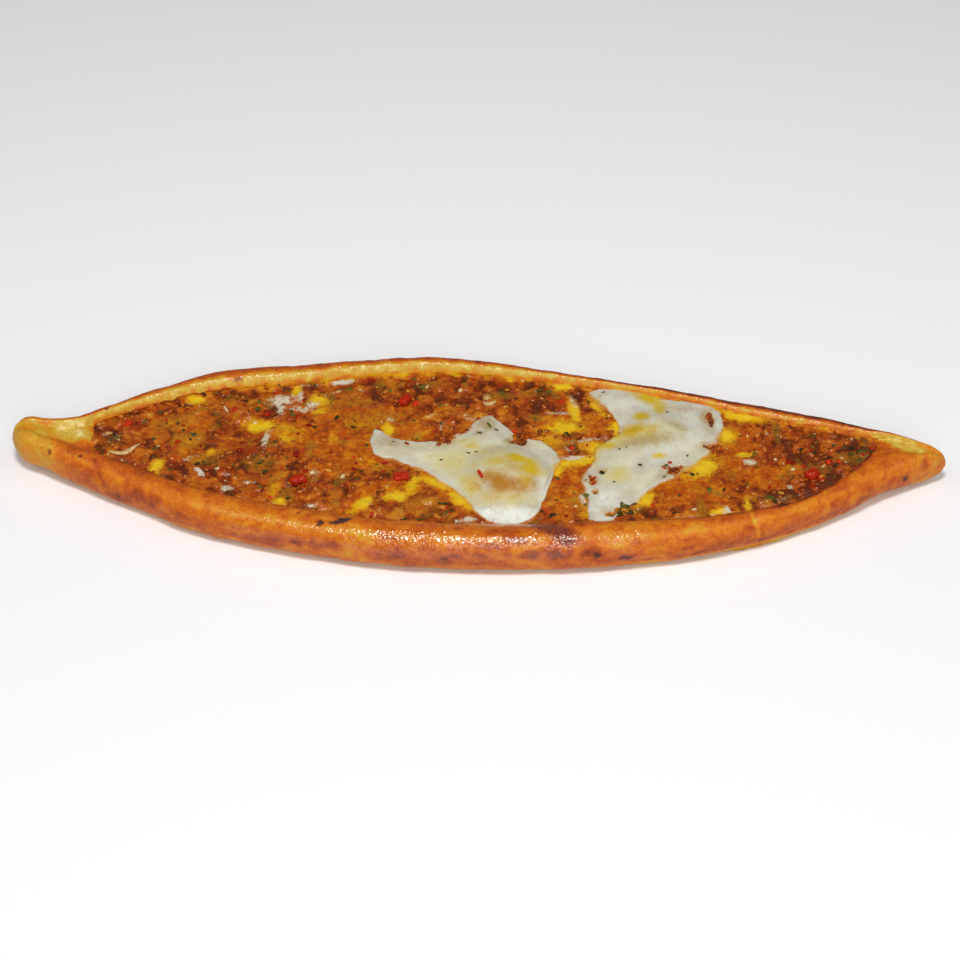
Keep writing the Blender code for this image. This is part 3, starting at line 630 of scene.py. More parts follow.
def mottle(tree, size, detail=2.0, roughness=0.5):
    """Noise of 0 to 1 on the piece's own coordinates, with lumps of this size in millimetres."""
    where = node(tree, "TexCoord").outputs["Object"]
    inputs = {"Vector": where, "Scale": 1 / (size * MM), "Detail": detail, "Roughness": roughness}
    return node(tree, "TexNoise", inputs).outputs["Fac"]


def math_of(tree, operation, *values, use_clamp=False):
    inputs = dict(enumerate(values))
    return node(tree, "Math", inputs, operation=operation, use_clamp=use_clamp).outputs[0]


def times(tree, value, factor, use_clamp=False):
    return math_of(tree, "MULTIPLY", value, factor, use_clamp=use_clamp)


def swayed(tree, value, *noises):
    """A value swayed up and down by each (noise, amount): value + amount * (noise - half)."""
    for by, amount in noises:
        way = math_of(tree, "MULTIPLY_ADD", by, amount, -amount / 2)
        value = math_of(tree, "ADD", value, way)
    return value


def step(tree, value, low, high):
    found = node(tree, "MapRange", {"Value": value, "From Min": low, "From Max": high})
    found.interpolation_type = "SMOOTHSTEP"
    return found.outputs["Result"]


def blend(tree, amount, first, second):
    return node(tree, "Mix", {0: amount, 6: first, 7: second}, data_type="RGBA").outputs[2]


def tinted(tree, colour, amount, shade, most=1.0):
    """A colour with up to this much of a shade over it. The shade is a colour or a socket."""
    if not isinstance(shade, bpy.types.NodeSocket):
        shade = (*shade, 1)
    return blend(tree, times(tree, amount, most), colour, shade)


def scale_of(tree, value, stops):
    """The colour at this place on a scale."""
    made = node(tree, "ValToRGB", {"Fac": value})
    points = made.color_ramp.elements
    while len(points) < len(stops):
        points.new(0.5)
    for point, (place, colour) in zip(points, stops):
        point.position = place
        point.color = (*colour, 1)
    return made.outputs["Color"]


def bump(tree, height, distance, strength=1.0, under=None):
    inputs = {"Height": height, "Distance": distance * MM, "Strength": strength}
    if under is not None:
        inputs["Normal"] = under
    return node(tree, "Bump", inputs).outputs["Normal"]


def new_finish(name, **constants):
    """(material, tree, shader) of a new material, with these constants on its shader."""
    made = bpy.data.materials.new(name)
    made.use_nodes = True
    shader = made.node_tree.nodes["Principled BSDF"]
    for socket, value in constants.items():
        shader.inputs[socket.replace("_", " ")].default_value = value
    return made, made.node_tree, shader


def link(tree, value, shader, *sockets):
    for socket in sockets:
        tree.links.new(value, shader.inputs[socket])


def dough_finish():
    """Egg-washed dough: one scale of colours from pale to charred, set by how far it is baked, and
    by the painted shade that is added to that.
    """
    made, tree, shader = new_finish(
        "egg_washed_dough", Specular_IOR_Level=0.42, Specular_Tint=(1, 0.86, 0.66, 1),
        Coat_Roughness=0.1,
    )
    blotches, spots, grit = mottle(tree, 8, 3), mottle(tree, 2.6, 3), mottle(tree, 0.9, 2)
    baked = swayed(tree, share(tree, "baked"), (blotches, 0.42), (spots, 0.34), (grit, 0.36))
    colour = scale_of(tree, baked, BAKED)
    scorched = swayed(tree, share(tree, "scorched"), (spots, 0.5), (grit, 0.3))
    colour = tinted(tree, colour, step(tree, scorched, -0.05, 0.6), SINGED, 0.8)
    colour = tinted(tree, colour, step(tree, scorched, 0.35, 1.0), SCORCHED, 0.9)
    charred = swayed(tree, share(tree, "charred"), (grit, 1.3))
    colour = tinted(tree, colour, step(tree, charred, 0.3, 0.75), CHARRED)
    link(tree, colour, shader, "Base Color")

    glossy = share(tree, "glossy")
    wet = swayed(tree, glossy, (spots, 0.5))
    rough = node(tree, "MapRange", {"Value": wet, "To Min": 0.56, "To Max": 0.11})
    link(tree, rough.outputs["Result"], shader, "Roughness")
    link(tree, times(tree, wet, 0.9, use_clamp=True), shader, "Coat Weight")
    risen = math_of(tree, "MULTIPLY_ADD", glossy, 0.6, 0.4)
    blisters = bump(tree, times(tree, mottle(tree, 1.25, 1), risen), 0.42)
    dimples = bump(tree, mottle(tree, 2.4, 2), 0.24, 1, blisters)
    link(tree, dimples, shader, "Normal", "Coat Normal")
    return made


def filling_finish():
    """Baked mince under an oily orange glaze, with melted yellow and milky patches. A few of the
    milky patches are painted glints, and the hollows and the walls have painted shade.
    """
    made, tree, shader = new_finish(
        "baked_filling", Coat_Roughness=0.09, Specular_Tint=WARM, Specular_IOR_Level=0.15
    )
    broad, spots, grit = mottle(tree, 7, 3), mottle(tree, 2.2, 3), mottle(tree, 0.8, 2)
    tone = share(tree, "tone")
    mince = scale_of(tree, swayed(tree, tone, (grit, 0.4), (spots, 0.35)), MINCE)
    glaze = scale_of(tree, swayed(tree, broad, (spots, 1.1), (grit, 0.5), (tone, 0.5)), GLAZE)
    glazed = step(tree, swayed(tree, share(tree, "glazed"), (spots, 0.6)), 0.2, 0.8)
    colour = blend(tree, glazed, mince, glaze)
    olive = swayed(tree, share(tree, "olive"), (spots, 0.9))
    colour = tinted(tree, colour, step(tree, olive, 0.2, 1.0), OLIVE, 0.55)
    red = swayed(tree, share(tree, "red"), (spots, 0.9))
    colour = tinted(tree, colour, step(tree, red, 0.3, 1.1), RED, 0.75)
    yellow = swayed(tree, share(tree, "yellow"), (spots, 0.7), (grit, 0.3))
    melted = scale_of(tree, yellow, YELLOWS)
    colour = tinted(tree, colour, step(tree, yellow, 0.02, 0.8), melted)
    # Milky curds of egg, and a few painted glints in the same colours
    milky = swayed(tree, share(tree, "milky"), (mottle(tree, 1.4, 2), 1.5), (grit, 0.7))
    curds_and_glints = scale_of(tree, milky, MILK_AND_GLINTS)
    colour = tinted(tree, colour, step(tree, milky, 0.25, 0.9), curds_and_glints, 0.9)
    # Painted shade in the hollows between the grains and along the walls
    colour = tinted(tree, colour, share(tree, "pit_and_shade"), CREVICE_SHADE, 0.7)
    link(tree, colour, shader, "Base Color")

    dry = share(tree, "dry")
    link(tree, math_of(tree, "MULTIPLY_ADD", dry, -0.42, 0.45), shader, "Coat Weight")
    rough = node(tree, "MapRange", {"Value": glazed, "To Min": 0.42, "To Max": 0.26})
    rough = math_of(tree, "MULTIPLY_ADD", dry, 0.3, rough.outputs["Result"])
    link(tree, rough, shader, "Roughness")
    crumb = bump(tree, mottle(tree, 1.7, 2), 0.45, 0.5, bump(tree, grit, 0.30, 0.6))
    link(tree, crumb, shader, "Normal", "Coat Normal")
    return made


def grain_finish():
    """Loose grains of mince, each with its own tone."""
    made, tree, shader = new_finish(
        "mince_grains", Coat_Weight=0.4, Coat_Roughness=0.1, Roughness=0.38, Specular_Tint=WARM,
        Specular_IOR_Level=0.25,
    )
    grit = mottle(tree, 0.7, 2)
    tone = swayed(tree, share(tree, "tone"), (grit, 0.4))
    link(tree, scale_of(tree, tone, MINCE), shader, "Base Color")
    link(tree, bump(tree, grit, 0.2, 0.6), shader, "Normal", "Coat Normal")
    return made


def egg_finish(name):
    """Set egg: milky white, which lets the yolk and the filling show where it is thin."""
    made, tree, shader = new_finish(
        name, Coat_Weight=0.08, Coat_Roughness=0.25, Roughness=0.42, Specular_IOR_Level=0.25,
        Subsurface_Weight=0.15, Subsurface_Radius=(1.0, 0.75, 0.45), Subsurface_Scale=2.0 * MM,
    )
    broad, spots = mottle(tree, 5, 3), mottle(tree, 1.6, 2)
    colour = scale_of(tree, swayed(tree, share(tree, "bright"), (broad, 0.3)), SET_WHITE)
    colour = tinted(tree, colour, swayed(tree, share(tree, "cream"), (broad, 0.4)), CREAM, 0.85)
    faint = step(tree, mottle(tree, 3.2, 4, 0.6), 0.50, 0.70)
    colour = tinted(tree, colour, faint, FAINT, 0.45)
    # The dull tint is partly a painted shade on the front of the right yolk's mound
    tints = [
        ("dull", 0.5, 0.4, DULL_AND_SHADE, 0.85), ("yellow", 0.5, 0.25, YOLK, 1),
        ("brown", 0.4, 0.25, YOLK_BROWN, 1),
    ]
    for tint, by_broad, by_spots, shade, most in tints:
        amount = swayed(tree, share(tree, tint), (broad, by_broad), (spots, by_spots))
        colour = tinted(tree, colour, step(tree, amount, 0.0, 1.0), shade, most)
    under = blend(tree, share(tree, "gold"), UNDER_ORANGE, UNDER_GOLD)
    thin = swayed(tree, share(tree, "thin"), (broad, 0.3), (spots, 0.5))
    colour = tinted(tree, colour, step(tree, thin, 0.15, 1.05), under)
    link(tree, colour, shader, "Base Color")
    link(tree, bump(tree, spots, 0.25, 0.3), shader, "Normal")
    return made


def moist_finish(name, dark, light, size, **constants):
    """A moist finish whose colour wanders between two, from place to place and bit to bit."""
    made, tree, shader = new_finish(name, **constants)
    value = swayed(tree, share(tree, "tone"), (mottle(tree, size, 2), 0.7))
    link(tree, scale_of(tree, value, [(0.1, dark), (0.9, light)]), shader, "Base Color")
    link(tree, bump(tree, mottle(tree, size / 2, 2), 0.2, 0.5), shader, "Normal")
    return made


# ---- The dough


def dough_mesh():
    """The dough's solid, made smooth and fine enough for its blisters."""
    mesh = smoothed_solid("crust", 2)
    bm = bmesh.new()
    bm.from_mesh(mesh)
    long_ways = []
    for edge in bm.edges:
        along, length = abs(edge.verts[0].co.x - edge.verts[1].co.x), edge.calc_length()
        if along > 0.8 * length and length > 1.1 * MM:
            long_ways.append(edge)
    bmesh.ops.subdivide_edges(bm, edges=long_ways, cuts=1, use_grid_fill=True)
    bmesh.ops.smooth_vert(
        bm, verts=bm.verts, factor=0.5, use_axis_x=True, use_axis_y=True, use_axis_z=True
    )
    bm.to_mesh(mesh)
    bm.free()
    return mesh


def pocket_walls():
    """Places along X, and the pocket's front and back wall there, read off the crust's solid."""
    tree = tree_of(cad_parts["crust"].data)
    filling = mesh_places(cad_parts["filling"].data)
    xs = np.linspace(FILL_START, FILL_END, 120)
    front, back = [], []
    for x in xs:
        near = filling[np.abs(filling[:, 0] - np.clip(x, *SOLID_ENDS)) < 6]
        middle = (near[:, 1].min() + near[:, 1].max()) / 2
        t = min(max((abs(x) - LIFT_FROM) / LIFT_RUN, 0), 1)
        lift = END_LIFT[int(x > 0)] * (t * t * (3 - 2 * t)) ** 1.5
        start = Vector((x, middle, WALL_LEVEL + lift)) * MM
        for way, wall in ((-1, front), (1, back)):
            hit = tree.ray_cast(start, Vector((0, way, 0)))[0]
            wall.append(hit.y / MM if hit else middle + way)
    return xs, np.array(front), np.array(back)


def boat_middle(places, walls):
    """The line between the two rims at each place, which is the pocket's own to the right."""
    x = places[:, 0]
    last = len(EDGE_PLACES) - 1
    column = np.clip(np.round((x - EDGE_PLACES[0]) / EDGE_STEP).astype(int), 0, last)
    front, back = np.full(last + 1, 1e9), np.full(last + 1, -1e9)
    np.minimum.at(front, column, places[:, 1])
    np.maximum.at(back, column, places[:, 1])
    known = front < 1e8
    edges = [np.interp(EDGE_PLACES, EDGE_PLACES[known], edge[known]) for edge in (front, back)]
    middle = (np.interp(x, EDGE_PLACES, edges[0]) + np.interp(x, EDGE_PLACES, edges[1])) / 2
    along, wall_front, wall_back = walls
    pocket = np.interp(x, along, (wall_front + wall_back) / 2)
    return middle + (pocket - middle) * smooth(130, 160, x)


def read_dough(mesh, walls):
    """What the relief and the browning of the dough go by, at each vertex."""
    places, normals = mesh_places(mesh), vertex_normals(mesh)
    x, y, z = places.T
    behind = y > boat_middle(places, walls)
    outward = normals[:, 1] * np.where(behind, 1, -1)
    pit_x, pit_y, pit_radius = NOSE_PIT
    return SimpleNamespace(
        places=places, normals=normals, x=x, y=y, z=z, behind=behind, outward=outward,
        under=smooth(-0.35, -0.8, normals[:, 2]),
        inner_back=behind * smooth(0.3, -0.2, outward),
        broad=lumps(places, 13, 3), small=lumps(places, 4.5, 5),
        fold=groove(places, *FOLD), crease=groove(places, *CREASE),
        seam=groove(places, *SEAM), base=groove(places, *BASE_GROOVE),
        pit_and_shade=np.exp(-((np.hypot(x - pit_x, y - pit_y) / pit_radius) ** 2)) * (z > 12),
    )


def raised_dough(d):
    """The dough's vertices with their relief: blisters, folds, the seam, and the ends drawn out."""
    x, y, z = d.x, d.y, d.z
    reach, _ = grains(d.places, 2.8, 1)
    relief = 0.50 * d.broad + 0.22 * d.small - 0.16 * reach + 0.08
    relief += d.inner_back * (0.24 * lumps(d.places, 3.0, 7) + 0.14 * lumps(d.places, 1.5, 8))
    relief = relief - 1.1 * d.fold - 0.5 * d.crease - 0.55 * d.seam
    relief = relief - (0.3 + 0.3 * d.small) * d.base - 0.9 * d.pit_and_shade
    past_seam = 0.45 * smooth(124.5, 126.5, x - (y + 44) * 0.2) * smooth(140, 128, x)
    relief += past_seam * (~d.behind) * smooth(4, 9, z)
    relief *= 1 - d.under * smooth(2.5, 1.0, z)
    relief += 0.10 * lumps(d.places, 1.9, 6) * smooth(0, 3, z) + 1.4 * smooth(-203, -213, x)
    on_floor = smooth(0.6, 0.9, d.normals[:, 2]) * (z > 12) * (np.abs(x) > 165) * (z < 17.4)
    relief += on_floor * END_FILLET * patches(d.places, END_FLOORS, 0.4)
    places = d.places + d.normals * relief[:, None]
    places[:, 0] -= 0.6 * smooth(-205, -214, x)
    places[:, 2] = np.maximum(places[:, 2], 0)
    return places


def browning(d, places):
    """How far each place of the raised dough is baked, from 0 pale to 1 charred, with painted shade
    added in its grooves and low on the pocket's walls.
    """
    x, z = d.x, d.z
    back = straight(BAKED_BACK, d.outward)
    back += smooth(20, 90, x) * straight(MORE_AT_RIGHT, d.outward)
    back += d.inner_back * (0.16 * lumps(places, 5, 63) + 0.10 * lumps(places, 2, 64))
    front = straight(BAKED_FRONT, d.outward)
    front -= 0.11 * patches(places, GOLDEN_PATCHES, 0.6, 0.2 * d.small)
    front += 0.10 * smooth(-100, -150, x) * smooth(-215, -190, x) + 0.045 * smooth(30, 60, x)
    front -= 0.22 * smooth(5.5, 2.5, z) * smooth(50, 90, x) + 0.1 * smooth(4, 1, z)
    baked = np.where(d.behind, back, front)

    # The paler knobs at the tips and slopes beside them, blotches, and a top limit for each rim
    baked += (KNOB_LEFT - baked) * 0.85 * smooth(-186, -204, x)
    baked += (KNOB_RIGHT - baked) * 0.8 * smooth(192, 206, x)
    slope = patches(places, PALE_SLOPES, 0.4, 0.3 * d.small)
    baked += (0.10 + 0.10 * d.small - baked) * slope * (z > 8)
    baked += 0.10 * lumps(places, 6.5, 61) + 0.07 * lumps(places, 2.4, 62)
    baked = np.minimum(baked, np.where(d.behind, MOST_BAKED_BACK, MOST_BAKED_FRONT))
    baked += (UNDERSIDE - baked) * d.under
    baked += 0.22 * marks(places, BLUSHES, 0.8 * d.small)

    # Streaks low on the front rim, and filling that has stained the pocket's walls, with painted
    #     # shade low on the walls where they meet the filling
    low = smooth(0.4, 0.75, d.outward) * ~d.behind * smooth(1.5, 4, z) * smooth(-180, -120, x)
    streaks = 0.13 * lumps(places * (0.3, 1, 1), 3.4, 66)
    streaks += 0.07 * lumps(places * (0.5, 1, 1), 1.8, 67)
    baked += low * (0.065 + streaks)
    share_of_lift = np.clip((np.abs(x) - LIFT_FROM) / LIFT_RUN, 0, 1) ** 3
    lift = np.where(x > 0, END_LIFT[1], END_LIFT[0]) * share_of_lift
    stain_and_shade = smooth(2.4, 0.3, z - lift - FILLING_LEVEL) * smooth(-0.1, -0.4, d.outward)
    stain_and_shade *= np.abs(x) < STAIN_AND_SHADE_TO
    baked += stain_and_shade * np.clip(0.22 + 0.3 * lumps(places, 5, 65), 0, 0.5)
    # Painted shade darkens the fold, the crease and the nose pit; the base groove is darker, partly
    # its own brown line and partly painted shade; the seam's dough is paler
    baked += 0.16 * d.crease + 0.3 * d.fold - 0.35 * d.seam
    return baked + (0.12 + 0.25 * d.small) * d.base + 0.2 * d.pit_and_shade


def make_crust(finish, walls):
    mesh = dough_mesh()
    d = read_dough(mesh, walls)
    places = raised_dough(d)
    set_places(mesh, places)
    rough = 0.35 * lumps(places, 1.6, 9) + 0.3 * lumps(places, 4, 10)
    scorched = marks(places, SCORCHES, rough)
    charred = np.clip((scorched - CHAR_FROM) / 0.15, 0, 1)
    glossy = patches(places, GLOSSY_PATCHES, 0.5, 0.2 * d.broad) * smooth(8, 15, d.z)
    inner_side = smooth(0.2, -0.1, d.outward) * smooth(-0.6, -0.3, d.outward)
    glossy += 0.6 * d.behind * inner_side
    paint(mesh, baked=browning(d, places), scorched=scorched, charred=charred, glossy=glossy)
    piece = new_piece("baked_crust", mesh, finish)
    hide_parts("crust")


# ---- The filling


def pocket_floor():
    """Places along X, and the height there of the filling's underside."""
    places = mesh_places(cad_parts["filling"].data)
    xs = np.linspace(*SOLID_ENDS, 90)
    return xs, np.array([places[np.abs(places[:, 0] - x) < 5, 2].min() for x in xs])


def filling_sheet(walls):
    """A grid drawn over the pocket from wall to wall, as high as the filling's solid."""
    xs, front, back = walls
    bm = bmesh.new()
    bmesh.ops.create_grid(bm, x_segments=FILL_COLUMNS, y_segments=FILL_ROWS, size=1)
    u, v, _ = np.array([vertex.co[:] for vertex in bm.verts]).T
    x = FILL_START + (FILL_END - FILL_START) * (u + 1) / 2
    from_start, from_end = x - FILL_START, FILL_END - x
    x = x + START_ROUND * (v - 0.3) ** 2 * np.exp(-from_start / 9)
    x = x - END_ROUND * (v - 0.8) ** 2 * np.exp(-from_end / 12)
    low, high = np.interp(x, xs, front) - TUCK, np.interp(x, xs, back) + TUCK
    y = low + (high - low) * (v + 1) / 2
    from_back = high - y - TUCK
    from_sides = np.minimum(y - low - TUCK, from_back)
    from_wall = np.minimum(from_sides, np.minimum(from_start, from_end) * 0.8)

    solid = tree_of(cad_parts["filling"].data)
    inner = np.minimum(np.maximum(y, low + LEVEL_INSET), high - LEVEL_INSET)
    inner = np.where(high - low > 2 * LEVEL_INSET + 0.2, inner, (low + high) / 2)
    z, level = [], FILLING_LEVEL
    for at in zip(np.clip(x, *LEVEL_ENDS), inner):
        level = settle(solid, *at) or level
        z.append(level)
    places = np.stack([x, y, z], 1)
    return bm, SimpleNamespace(places=places, from_back=from_back, from_wall=from_wall)


def lay_out(f):
    """Adds what lies where on the filling: sauce, yellow, milky, red and olive patches, eggs. A few
    of the milky patches are painted glints.
    """
    level, x = flat(f.places), f.places[:, 0]
    f.uneven = 0.3 * lumps(level, 4, 11) + 0.2 * lumps(level, 1.7, 12)
    f.glazed = patches(level, SMOOTH_PATCHES, 0.5, f.uneven)
    f.yellow = patches(level, YELLOW_PATCHES, 0.85, 1.3 * f.uneven)
    torn = 0.5 * lumps(level, 2.6, 16) + 0.35 * lumps(level, 1.2, 17)
    f.milky = patches(level, MILKY_AND_GLINT_PATCHES, 0.8, torn)
    f.red = patches(level, RED_PATCHES, 0.6, f.uneven)
    f.red = np.maximum(f.red, 0.8 * smooth(0.12, 0.55, lumps(level, 6, 13)))
    f.olive = patches(level, OLIVE_PATCHES, 0.6, f.uneven)
    f.olive = np.maximum(f.olive, 0.8 * smooth(0.1, 0.55, lumps(level, 7.5, 14)))
    f.seep = smooth(4.0, 0.6, f.from_back + 1.6 * lumps(level, 4, 18)) * smooth(-140, -115, x)
    f.glazed = np.maximum(f.glazed, 0.9 * f.seep)
    f.yellow = np.maximum(f.yellow, f.seep * (0.5 + 0.6 * lumps(level, 8, 19)))
    under_white = np.maximum(egg_depth(f.places, LEFT_EGG), egg_depth(f.places, RIGHT_EGG))
    f.sunk = smooth(-0.5, 1.3, under_white)


def heap_up(f):
    """Raises the filling's places: clumps, grains on them, and smooth sauce over some of it. Adds
    how light each place is, and the painted shade in its hollows and along the walls."""
    level, x, y = flat(f.places), f.places[:, 0], f.places[:, 1]
    reach, number = grains(warped(level, 2.8, 1.5, 2), GRAIN, 2)
    big_reach, big_number = grains(warped(level, 5, 1.8, 5), CLUMP, 7)
    grain, clump = smooth(0.85, 0.1, reach), smooth(0.9, 0.1, big_reach)
    pebbly = 1 - 0.7 * np.clip(np.maximum(f.glazed, f.yellow * 1.2), 0, 1)
    heap = 0.46 * grain * (0.6 + 0.8 * number) + 0.8 * clump * (0.5 + big_number) - 0.7
    relief = pebbly * heap
    relief += 0.5 * lumps(level, 12, 4) + 0.42 * lumps(level, 4.5, 6) + 0.12 * lumps(level, 1.8, 8)
    relief += 0.25 * np.clip(f.milky, 0, 1) - 0.25 * f.yellow
    relief = relief * (1 - f.sunk) - UNDER_EGG * f.sunk
    relief -= 0.5 * smooth(2.0, -0.5, f.from_wall) * (1 - f.sunk)
    creep = smooth(3.0, 0.3, f.from_back) * smooth(-140, -110, x) * (1 - f.sunk)
    crept = 0.1 + 0.7 * lumps(level, 7, 16) + 0.4 * lumps(level, 2.4, 17)
    f.places[:, 2] += relief + creep * np.clip(crept, 0, 0.5)

    f.tone = 0.39 + 0.17 * number + 0.24 * (big_number - 0.5) + 0.34 * lumps(level, 8, 15)
    f.tone += 0.17 * patches(level, BRIGHTER_PATCHES, 0.6, f.uneven) - 0.17 * smooth(118, 145, x)
    f.tone -= 0.10 * smooth(26, 38, y) * smooth(-70, -40, x)
    # Painted shade: darker in the hollows between the grains and along the walls, where the edges
    # are also baked darker, and a painted shadow line along the back wall at the left end
    f.pit_and_shade = pebbly * smooth(0.35, 0.0, grain) * 0.20
    f.pit_and_shade += 0.16 * smooth(1.0, -0.4, f.from_wall) * (1 - f.seep)
    f.pit_and_shade += 0.7 * smooth(1.8, 0.3, f.from_back) * smooth(-130, -142, x)
    f.dry = smooth(5.0, 2.8, f.from_back)


def make_filling(finish, walls):
    xs, front, back = walls
    floor_xs, floor = pocket_floor()
    bm, f = filling_sheet(walls)
    lay_out(f)
    heap_up(f)
    move_to(bm, f.places)

    def onto_floor(place):
        x = place.x / MM
        wall_front, wall_back = np.interp(x, xs, front), np.interp(x, xs, back)
        middle, half = (wall_front + wall_back) / 2, max((wall_back - wall_front) / 2 - 1.5, 0.5)
        y = middle + max(min(place.y / MM - middle, half), -half)
        return place.x, y * MM, (np.interp(x, floor_xs, floor) + 0.5) * MM

    close_below(bm, onto_floor)
    mesh = mesh_of(bm, "filling")
    skirt = np.zeros(len(mesh.vertices) - len(f.places))
    names = ("tone", "glazed", "yellow", "milky", "red", "olive", "pit_and_shade", "dry")
    paint(mesh, **{name: np.concatenate([getattr(f, name), skirt]) for name in names})
    piece = new_piece("baked_filling", mesh, finish)
    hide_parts("filling")
    return f


# ---- The eggs


def contour(egg):
    """The outline of an egg's white, as (x, y)."""
    ring = egg["low_edge"] + egg["high_edge"][-2:0:-1]
    return ring if egg["along"] == "x" else [(b, a) for a, b in ring]


def inside_egg(places, egg):
    """How far each place is inside an egg's white, in millimetres, below 0 outside."""
    points = contour(egg)
    near = off_line(places, points + points[:1])
    run, across = places[:, :2].T if egg["along"] == "x" else places[:, 1::-1].T
    low = straight(egg["low_edge"], run, left=1e3, right=1e3)
    high = straight(egg["high_edge"], run, left=-1e3, right=-1e3)
    return np.where((across > low) & (across < high), near, -near)


def egg_depth(places, egg):
    """The same, with an uneven edge, and with the filling showing through its bare patches and
    its lace."""
    level = flat(places)
    depth = inside_egg(level, egg)
    near = depth > -4
    level = level[near]
    uneven = lumps(level, 1.5, 52)
    found = depth[near] + 0.5 * lumps(level, 3.4, 51) + 0.22 * uneven
    lace = patches(level, LACE_PATCHES, 0.5, 0.3 * lumps(level, 3, 54))
    thin = np.minimum(found, 0.35 + 1.3 * lumps(level, 2.3, 55) + 0.7 * uneven)
    found = found * (1 - lace) + thin * lace
    torn = 0.4 * lumps(level, 2.2, 53) + 0.15 * uneven
    bare = patches(level, BARE_PATCHES, 0.35, torn)
    depth[near] = found * (1 - bare) - 1.4 * bare
    return depth


def yolk_dome(places, egg):
    """The height of a yolk's soft mound above the level of its white."""
    x, y = egg["yolk"]
    away = np.hypot(places[:, 0] - x, places[:, 1] - y) / egg["radius"]
    return egg["height"] * np.clip(1 - (away / YOLK_REACH) ** 2, 0, 1) ** 1.25


def white_sheet(egg):
    """A grid drawn from one edge of the white to the other, with closer rows near its edges."""
    bm = bmesh.new()
    bmesh.ops.create_grid(bm, x_segments=WHITE_COLUMNS, y_segments=WHITE_ROWS, size=1)
    start, end = egg["low_edge"][0][0], egg["low_edge"][-1][0]
    half = (end - start) / 2 + WHITE_MARGIN
    columns = {}
    for vertex in bm.verts:
        u, v = vertex.co.x, vertex.co.y
        if u not in columns:
            at = (start + end) / 2 + half * (0.55 * u + 0.45 * math.sin(math.pi / 2 * u))
            inner = min(max(at, start), end)
            columns[u] = at, curve(egg["low_edge"], inner), curve(egg["high_edge"], inner)
        at, low, high = columns[u]
        v = 0.8 * v + 0.2 * math.sin(math.pi / 2 * v)
        across = (low + high) / 2 + ((high - low) / 2 + WHITE_MARGIN) * v
        vertex.co = (at, across, 0) if egg["along"] == "x" else (across, at, 0)
    return bm, np.array([vertex.co[:] for vertex in bm.verts])


def white_height(places, egg):
    """How high the white stands at each place: a beaded edge, a soft body, and up over the yolk."""
    depth = egg_depth(places, egg)
    inside = np.maximum(depth, 0)
    bead = BEAD * np.sqrt(np.clip(1 - (1 - np.minimum(inside / BEAD_WIDTH, 1)) ** 2, 0, 1))
    body = WHITE_BODY * smooth(0.5, 9, inside) + 0.3 * lumps(places, 8, 22) * smooth(0, 4, inside)
    spread = bead + body + 0.1 * lumps(places, 2.6, 21) * smooth(0, 1, inside)
    peek = patches(places, PEEKS, 0.7, 0.25 * lumps(places, 4, 24))
    film = yolk_dome(places, egg) + 0.25 + 0.15 * lumps(places, 6, 23) - 0.45 * peek
    film = film * smooth(0, 1.5, inside)
    gap = spread - film
    height = (spread + film + np.sqrt(gap**2 + FOOT**2)) / 2
    height = height - FOOT * smooth(4, 0, np.abs(gap)) * 0.35
    height = np.minimum(height, MOST_RISE) + np.maximum(np.minimum(depth, 0) * 0.9, -1.3)
    if "bubble" in egg:
        x, y, radius, rise = egg["bubble"]
        ring = np.hypot(places[:, 0] - x, places[:, 1] - y) / radius
        height += rise * np.sqrt(np.clip(1 - np.minimum(ring, 1) ** 2, 0, 1))
        height -= 0.25 * np.exp(-(((ring - 1.12) / 0.16) ** 2))
    return height


def tint_egg(mesh, egg, more_yellow):
    places = mesh_places(mesh)
    level = flat(places)
    uneven = 0.35 * lumps(level, 6, 41) + 0.2 * lumps(level, 2.2, 42)
    bright = 0.30 + 0.24 * lumps(level, 6, 44) + 0.7 * patches(level, BRIGHT_PATCHES, 0.7, uneven)
    reach = 0.6 + 5 * patches(level, FADED_EDGES, 0.7, uneven) + 0.5 * lumps(level, 5, 45)
    paint(
        mesh, bright=bright,
        thin=smooth(1, 0, (egg_depth(places, egg) + 0.8) / np.maximum(reach, 0.3)),
        yellow=np.clip(patches(level, YOLK_TINTS, 0.9, uneven) + more_yellow, 0, 1),
        brown=patches(level, BROWN_TINTS, 0.9, uneven),
        cream=patches(level, CREAM_TINTS, 0.7, uneven),
        dull=patches(level, DULL_AND_SHADE_TINTS, 0.9, 1.4 * uneven),
        gold=patches(level, YELLOW_PATCHES, 0.9, uneven),
    )


def make_white(side, egg, finish):
    bm, places = white_sheet(egg)
    places[:, 2] = WHITE_LEVEL + white_height(places, egg)
    move_to(bm, places)
    bottom = (WHITE_LEVEL - WHITE_DEPTH) * MM
    close_below(bm, lambda place: (place.x, place.y, bottom))
    mesh = mesh_of(bm, "white")
    tint_egg(mesh, egg, 0.0)
    piece = new_piece("egg_white_film_" + side, mesh, finish)
    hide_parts("egg_white_" + side)
    return piece


def make_yolk(side, egg, finish):
    bm = bmesh.new()
    bmesh.ops.create_uvsphere(bm, u_segments=96, v_segments=64, radius=1)
    places = np.array([vertex.co[:] for vertex in bm.verts])
    up = places[:, 2].copy()
    places[:, :2] = egg["yolk"] + egg["radius"] * places[:, :2]
    level = flat(places)
    dome = (yolk_dome(level, egg) - 0.2) * np.sqrt(np.clip(up, 0, 1))
    dome += 0.05 * lumps(level, 2.5, 32)
    places[:, 2] = WHITE_LEVEL + np.where(up > 0, dome, np.maximum(up, -0.12) * 4)
    move_to(bm, places)
    face_outwards(bm)
    mesh = mesh_of(bm, "yolk")
    tint_egg(mesh, egg, 0.06)
    piece = new_piece("egg_yolk_dome_" + side, mesh, finish)
    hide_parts("egg_yolk_" + side)
    return piece


# ---- Small things


